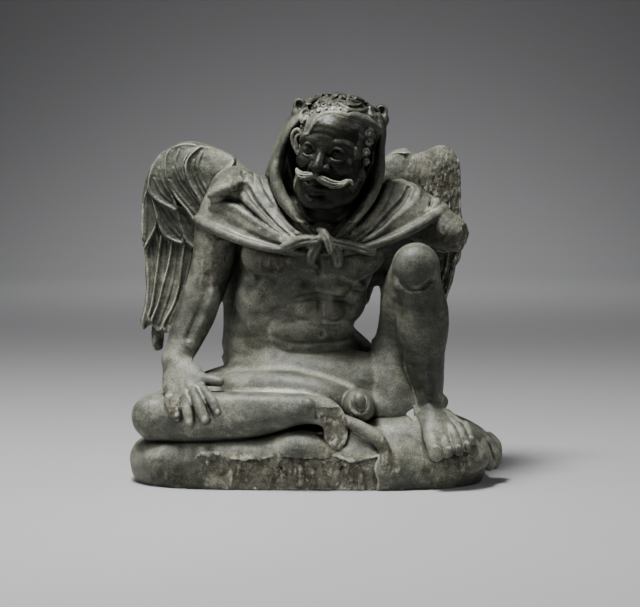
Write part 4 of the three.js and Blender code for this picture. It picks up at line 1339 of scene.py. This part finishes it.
def mesh_of(stone, name, budget):
    """A mesh object of the stone's surface, with no more triangles than the budget."""
    points, quads = stone.surface()
    mesh = bpy.data.meshes.new(name)
    mesh.from_pydata(to_frame(roughen(stone, points)).tolist(), [], quads.tolist())
    piece = link(name, mesh)
    drop_crumbs(piece)
    modifier = piece.modifiers.new("thin", "DECIMATE")
    modifier.ratio = min(1.0, budget / (2 * len(piece.data.polygons)))
    modifier.use_collapse_triangulate = True
    apply_modifiers(piece)
    places = np.empty(len(piece.data.vertices) * 3, np.float32)
    piece.data.vertices.foreach_get("co", places)
    places = np.clip(places.reshape(-1, 3), LOW, HIGH)
    piece.data.vertices.foreach_set("co", places.astype(np.float32).ravel())
    piece.data.update()
    piece.data.shade_smooth()
    return piece


def drop_crumbs(piece):
    """Removes loose bits, so that the piece is one body."""
    mesh = piece.data
    edges = np.empty(len(mesh.edges) * 2, np.int32)
    mesh.edges.foreach_get("vertices", edges)
    edges = edges.reshape(-1, 2)
    label = np.arange(len(mesh.vertices))
    while True:
        lowest = np.minimum(label[edges[:, 0]], label[edges[:, 1]])
        new = label.copy()
        np.minimum.at(new, edges[:, 0], lowest)
        np.minimum.at(new, edges[:, 1], lowest)
        new = new[new]
        if (new == label).all():
            break
        label = new
    kinds, sizes = np.unique(label, return_counts=True)
    keep = label == kinds[sizes.argmax()]
    if keep.all():
        return
    work = bmesh.new()
    work.from_mesh(mesh)
    work.verts.ensure_lookup_table()
    bmesh.ops.delete(work, geom=[v for v in work.verts if not keep[v.index]], context="VERTS")
    work.to_mesh(mesh)
    work.free()


def apply_modifiers(piece):
    graph = bpy.context.evaluated_depsgraph_get()
    made = bpy.data.meshes.new_from_object(piece.evaluated_get(graph))
    old = piece.data
    piece.modifiers.clear()
    piece.data = made
    bpy.data.meshes.remove(old)
    made.name = piece.name


# How far off the surface the stone is felt for, and over what distance each finding fades, in millimetres;
# and what the far and the near finding give to a hollow
FEEL = {
    "far": 9, "far_fade": 8, "near": 3.2, "near_fade": 2.9, "edge": 3.0, "edge_fade": 1.6,
    "far_share": 0.7, "near_share": 0.6,
}


def mark(piece, stones):
    """Stores on each vertex how hollow, worn, broken and dark the stone is there, for the material: hollow
    sets the painted shade in the hollows, and dark sets darker stone with painted shade.
    """
    mesh = piece.data
    flat = np.empty(len(mesh.vertices) * 3, np.float32)
    mesh.vertices.foreach_get("co", flat)
    points = from_frame(flat.reshape(-1, 3).astype(float))
    mesh.vertices.foreach_get("normal", flat)
    normals = flat.reshape(-1, 3)

    def nearest(places):
        return np.min([stone.sample(places) for stone in stones], axis=0)

    # How near other stone lies off the surface: the hollow value, which the material uses for painted shade
    deep = np.clip(1 - nearest(points + normals * FEEL["far"]) / FEEL["far_fade"], 0, 1)
    fine = np.clip(1 - nearest(points + normals * FEEL["near"]) / FEEL["near_fade"], 0, 1)
    values = {
        "hollow": np.clip(FEEL["far_share"] * deep + FEEL["near_share"] * fine, 0, 1),
        "worn": np.clip((nearest(points - normals * FEEL["near"]) + FEEL["edge"]) / FEEL["edge_fade"], 0, 1),
        "broken": broken_share(points),
        "dark": dark_and_shade_share(points),
    }
    for name, value in values.items():
        layer = mesh.attributes.new(name, "FLOAT", "POINT")
        layer.data.foreach_set("value", value.astype(np.float32))


# The dark face, darker stone with painted shade, the curls beside it and the paler moustache, in the head's
# own millimetres
FACE_SPOT = {"middle": [0, -30, -8], "reach": [52, 62, 86], "to": 1.06, "fade": 0.12}
CURLS_FROM = {"across": 38, "up": 8, "left": -39}
MOUSTACHE_SPOT = {"extra": 0.6, "dark": 0.25}
# The rim over the brow, where the dark face ends: heights over places across
BROW_RIM = [[-10, 0, 12, 27, 43, 58, 72, 90], [500, 517, 525, 527, 522, 517, 510, 500]]
# Other darker parts: painted shade on the torso, the arms and the left leg, darker stone with painted shade
# on the hood and the scalp, and darker ground at the lower left; how they fade, and the middle, reach and
# darkness of each
DARK_FADE = {"to": 1.05, "fade": 0.25}
DARK_STONE_AND_SHADE = [
    ([25, -30, 484], [92, 88, 78], 0.55),
    ([31, -40, 540], [76, 70, 50], 0.85),
    ([0, -50, 300], [104, 90, 104], 0.3),
    ([-160, -20, 286], [58, 80, 118], 0.34),
    ([-180, -30, 228], [36, 60, 56], 0.6),
    ([150, -70, 225], [58, 80, 104], 0.34),
    ([-210, -100, 20], [64, 50, 26], 0.4),
]


def dark_and_shade_share(points):
    """How dark the stone is, as darker stone and painted shade: 1 on the face, less on the other darker parts
    and on the moustache, 0 elsewhere.
    """
    turn = turned(HEAD["nod"], HEAD["turn"], HEAD["lean"])
    local = (points - HEAD["at"]) @ turn / HEAD["scale"]
    away = steps_away(local, FACE_SPOT["middle"], FACE_SPOT["reach"])
    share = np.clip((FACE_SPOT["to"] - away) / FACE_SPOT["fade"], 0, 1)
    over_rim = points[:, 2] > np.interp(points[:, 0], *BROW_RIM)
    curls = (np.abs(local[:, 0]) > CURLS_FROM["across"]) & (local[:, 2] > CURLS_FROM["up"])
    share = np.where(over_rim | curls | (local[:, 0] < CURLS_FROM["left"]), 0.0, share)
    for middle, reach, dark in DARK_STONE_AND_SHADE:
        away = steps_away(points, middle, reach)
        share = np.maximum(share, dark * np.clip((DARK_FADE["to"] - away) / DARK_FADE["fade"], 0, 1))
    on_moustache = near_lines(local, MOUSTACHE, MOUSTACHE_SPOT["extra"])
    return np.where(on_moustache, MOUSTACHE_SPOT["dark"], share)


def near_lines(places, lines, extra):
    """Whether each place is inside one of the round limbs, made thicker by the extra."""
    inside = np.zeros(len(places), bool)
    for line in lines:
        for a, b in zip(np.array(line[:-1]), np.array(line[1:])):
            along = b[:3] - a[:3]
            share = np.clip((places - a[:3]) @ along / (along @ along), 0, 1)
            reach = a[3] + (b[3] - a[3]) * share + extra
            inside |= ((places - a[:3] - share[:, None] * along) ** 2).sum(1) < reach**2
    return inside


# Material

# Colours, in the order in which they cover each other
STONE = {"dark": (0.024, 0.026, 0.021), "middle": (0.056, 0.058, 0.046), "light": (0.125, 0.126, 0.100)}
CRUST = {"brown": (0.038, 0.035, 0.023), "pale": (0.120, 0.115, 0.088)}
SPECKLE = {"dark": (0.5, 0.5, 0.48), "light": (1.6, 1.6, 1.55)}
WORN = (0.27, 0.27, 0.225)
# The painted shade laid into the hollows
HOLLOW_SHADE = (0.009, 0.009, 0.008)
# Multiplies the colour on the darker parts: darker stone and painted shade
PATINA_AND_SHADE_TONE = (0.16, 0.16, 0.155)
# Noises: scale, detail, roughness and, where it has one, warp
GRAIN = (620.0, 4.0, 0.75)
PITS = (230.0, 5.0, 0.8)
CRUST_PATCHES = (60.0, 5.0, 0.7)
PATCHES = (26.0, 6.0, 0.7)
CLOUDS = (9.0, 5.0, 0.62, 0.6)
LAYERS = (22.0, 4.0, 0.6, 0.8)
BLOTCHES = (120.0, 6.0, 0.78)
FLECKS = 900.0
# How the layers are drawn out and turned
LAYER_STRETCH = (1.0, 1.0, 2.6)
LAYER_TURN = (0.3, 0.5, 0.0)
# The sockets of a Mix node that mixes colours
MIX = {"amount": 0, "a": 6, "b": 7, "result": 2}


class Nodes:
    """Short ways to add shader nodes to a material."""

    def __init__(self, material):
        material.use_nodes = True
        self.tree = material.node_tree
        self.shader = self.tree.nodes["Principled BSDF"]
        self.place = self.add("TexCoord", "Object")

    def put(self, value, socket):
        """A link into the socket, or a constant set on it."""
        if isinstance(value, bpy.types.NodeSocket):
            self.tree.links.new(value, socket)
        elif isinstance(value, tuple):
            socket.default_value = (*value, 1)[:len(socket.default_value)]
        else:
            socket.default_value = value

    def add(self, kind, output, inputs=(), **settings):
        """A new node with its settings and inputs, given as one of its outputs."""
        node = self.tree.nodes.new("ShaderNode" + kind)
        for name, value in settings.items():
            setattr(node, name, value)
        for name, value in dict(inputs).items():
            self.put(value, node.inputs[name])
        return node.outputs[output]

    def noise(self, scale, detail, roughness, warp=0.0, place=None):
        sizes = {"Scale": scale, "Detail": detail, "Roughness": roughness, "Distortion": warp}
        return self.add("TexNoise", "Fac", {**sizes, "Vector": self.place if place is None else place})

    def math(self, kind, a, b, limit=False):
        return self.add("Math", "Value", {0: a, 1: b}, operation=kind, use_clamp=limit)

    def times(self, a, b):
        return self.math("MULTIPLY", a, b)

    def between(self, value, low, high, to_low=0.0, to_high=1.0):
        ends = {"From Min": low, "From Max": high, "To Min": to_low, "To Max": to_high}
        return self.add("MapRange", "Result", {"Value": value, **ends})

    def mix(self, amount, a, b, kind="MIX"):
        inputs = {MIX["amount"]: amount, MIX["a"]: a, MIX["b"]: b}
        return self.add("Mix", MIX["result"], inputs, data_type="RGBA", blend_type=kind)

    def bump(self, height, distance, strength, under=()):
        inputs = {"Strength": strength, "Distance": distance, "Height": height}
        return self.add("Bump", "Normal", {**inputs, **dict(under)})


def schist_material():
    material = bpy.data.materials.new("schist")
    nodes = Nodes(material)
    between, times, mix = nodes.between, nodes.times, nodes.mix
    grain, clouds, patches = (nodes.noise(*sizes) for sizes in (GRAIN, CLOUDS, PATCHES))
    hollow, worn, broken, dark = (
        nodes.add("Attribute", "Fac", attribute_name=name) for name in ("hollow", "worn", "broken", "dark")
    )
    inputs = {"Vector": nodes.place, "Scale": LAYER_STRETCH, "Rotation": LAYER_TURN}
    layers = nodes.noise(*LAYERS, nodes.add("Mapping", "Vector", inputs))
    flecks = nodes.add("TexVoronoi", "Distance", {"Vector": nodes.place, "Scale": FLECKS})
    upward = nodes.add("SeparateXYZ", "Z", {"Vector": nodes.add("NewGeometry", "Normal")})

    # Clouds and layers of the stone, and painted top light: paler in patches on what faces up
    tone = times(clouds, 0.42)
    for part, share in ((layers, 0.2), (patches, 0.18), (nodes.noise(*BLOTCHES), 0.2)):
        tone = nodes.math("ADD", tone, times(part, share))
    colour = mix(between(tone, 0.42, 0.50), STONE["dark"], STONE["middle"])
    colour = mix(between(tone, 0.50, 0.57), colour, STONE["light"])
    # Painted light from above: upward faces are paled toward the light stone, in patches
    top_light = times(between(upward, 0.1, 0.95), between(patches, 0.42, 0.62))
    colour = mix(times(top_light, 0.65), colour, STONE["light"])

    # Crust on broken stone, pale worn edges, and painted shade in the hollows
    crust = mix(between(nodes.noise(*CRUST_PATCHES), 0.4, 0.62), CRUST["brown"], CRUST["pale"])
    spread = nodes.math("SUBTRACT", times(broken, 1.6), between(patches, 0.3, 0.7))
    crusted = between(spread, 0.0, 0.55)
    colour = mix(times(crusted, 0.85), colour, crust)
    edges = times(between(worn, 0.1, 0.75), between(patches, 0.34, 0.56, 0.4, 1.0))
    colour = mix(times(edges, between(dark, 0.1, 0.5, 0.85, 0.3)), colour, WORN)
    # Painted shade in the hollows, darker the more hollow the stone is
    colour = mix(between(hollow, 0.25, 0.95, 0.0, 0.88), colour, HOLLOW_SHADE)

    # Speckle and flecks, and the darker parts: darker stone with painted shade
    speckle = mix(between(grain, 0.38, 0.62), SPECKLE["dark"], SPECKLE["light"])
    colour = mix(1.0, colour, speckle, "MULTIPLY")
    colour = mix(between(flecks, 0.0, 0.16, 0.35, 0.0), colour, WORN)
    # Darker stone with painted shade: the face, the hood and scalp, the torso, the arms and the left leg
    darkened = mix(1.0, colour, PATINA_AND_SHADE_TONE, "MULTIPLY")
    colour = mix(times(dark, between(worn, 0.3, 1.0, 1.0, 0.86)), colour, darkened)

    polish = nodes.math("ADD", between(grain, 0.3, 0.7, 0.40, 0.58), times(crusted, 0.34))
    polish = nodes.math("SUBTRACT", polish, times(dark, 0.16), limit=True)
    pits = times(nodes.noise(*PITS), between(crusted, 0.0, 1.0, 0.25, 1.0))
    normal = nodes.bump(grain, 0.0004, 0.5, {"Normal": nodes.bump(pits, 0.0016, 0.8)})
    looks = {
        "Base Color": colour,
        "Roughness": polish,
        "Specular IOR Level": between(dark, 0.0, 1.0, 0.30, 0.16),
        "Normal": normal,
    }
    for name, value in looks.items():
        nodes.put(value, nodes.shader.inputs[name])
    return material


# Making it

# The one stone in five parts, each in its own box on its own grid, and how many triangles each may have
figure = Stone([-286, -160, -4], [256, 112, 460], VOXEL)
carve_figure(figure)

ground = Stone([-278, -150, -10], [276, 116, 118], GROUND_VOXEL)
carve_ground(ground)

right_wing = Stone([-278, 4, 170], [-66, 118, 502], WING_VOXEL)
carve_wing(right_wing, RIGHT_OUTLINE, RIGHT_FEATHERS, BACK_RIGHT, 1.0)
right_wing.limb([[-236, 70, 224, 9, 9], [-238, 70, 200, 9, 10], [-237, 70, 186, 7, 9]], blend=1.5)

left_wing = Stone([66, 4, 236], [228, 118, 496], WING_VOXEL)
carve_wing(left_wing, LEFT_OUTLINE, LEFT_FEATHERS, BACK_LEFT, 1.6)

head = Stone([-86, -148, 376], [120, 74, 568], HEAD_VOXEL)
carve_head(head)

stones = {
    "figure_stone": (figure, 190000),
    "ground_stone": (ground, 130000),
    "right_wing_stone": (right_wing, 110000),
    "left_wing_stone": (left_wing, 80000),
    "head_stone": (head, 190000),
}
schist = schist_material()
for name, (stone, budget) in stones.items():
    piece = mesh_of(stone, name, budget)
    mark(piece, [other for other, _ in stones.values()])
    piece.data.materials.append(schist)
    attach(piece, "root")
    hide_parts(NODE)


# Stage, lights and camera

# The floor: half its width, where its front edge is, where it starts to bend up behind, the curve's radius,
# the height of the wall behind it, and the steps of the curve
STAGE = {"half": 16.0, "front": -20.0, "bend": 4.4, "curve": 1.6, "height": 5.5, "steps": 14}
FLOOR = {"Base Color": (0.24, 0.24, 0.245, 1), "Roughness": 0.9}
WORLD = {"Color": (0.9, 0.93, 1.0, 1), "Strength": 0.05}
# Lamps: place, aim, size, watts, and spread in degrees
LAMPS = {
    "key": ((-0.4, -0.5, 2.2), (0, 0, 0.3), 0.6, 155, 180),
    "left_side": ((-2.0, -0.3, 1.2), (0, 0, 0.3), 0.6, 14, 180),
    "right_side": ((2.0, -0.2, 1.3), (0, 0, 0.3), 0.6, 10, 180),
    "low_front": ((-0.5, -1.7, 0.6), (-0.06, -0.1, 0.04), 0.3, 0.42, 24),
    "backdrop": ((0, 3.6, 2.6), (0, 4.3, 0), 2.0, 20, 80),
}


def set_inputs(node, values):
    for name, value in values.items():
        node.inputs[name].default_value = value


def stage_floor():
    """A pale floor that curves up behind the figure, far from it."""
    rows = [(STAGE["front"], 0.0)]
    for step in range(STAGE["steps"] + 1):
        angle = math.pi / 2 * step / STAGE["steps"]
        along, up = math.sin(angle), 1 - math.cos(angle)
        rows.append((STAGE["bend"] + STAGE["curve"] * along, STAGE["curve"] * up))
    rows.append((rows[-1][0], STAGE["height"]))
    points = [(side * STAGE["half"], y, z) for y, z in rows for side in (-1, 1)]
    faces = [(2 * n, 2 * n + 1, 2 * n + 3, 2 * n + 2) for n in range(len(rows) - 1)]
    mesh = bpy.data.meshes.new("floor")
    mesh.from_pydata(points, [], faces)
    piece = link("floor", mesh)
    mesh.shade_smooth()
    material = bpy.data.materials.new("pale_floor")
    material.use_nodes = True
    set_inputs(material.node_tree.nodes["Principled BSDF"], FLOOR)
    mesh.materials.append(material)
    return piece


stage_floor()

world = bpy.data.worlds.new("studio")
world.use_nodes = True
set_inputs(world.node_tree.nodes["Background"], WORLD)
bpy.context.scene.world = world


def area_light(name, at, aim, size, power, spread):
    light = bpy.data.lights.new(name, "AREA")
    light.spread = math.radians(spread)
    light.shape = "SQUARE"
    light.size = size
    light.energy = power
    lamp = link(name, light)
    lamp.location = at
    lamp.rotation_euler = (Vector(aim) - Vector(at)).to_track_quat("-Z", "Y").to_euler()


for name, settings in LAMPS.items():
    area_light(name, *settings)

camera_data = bpy.data.cameras.new("camera")
camera_data.sensor_width = CAMERA["sensor"]
camera_data.lens = CAMERA["lens"]
camera_data.dof.use_dof = False
camera = link("camera", camera_data)
camera.location = to_frame(CAMERA["at"])
camera.rotation_euler = (math.radians(90 - CAMERA["down"]), 0, math.radians(CAMERA["left"]))
bpy.context.scene.camera = camera
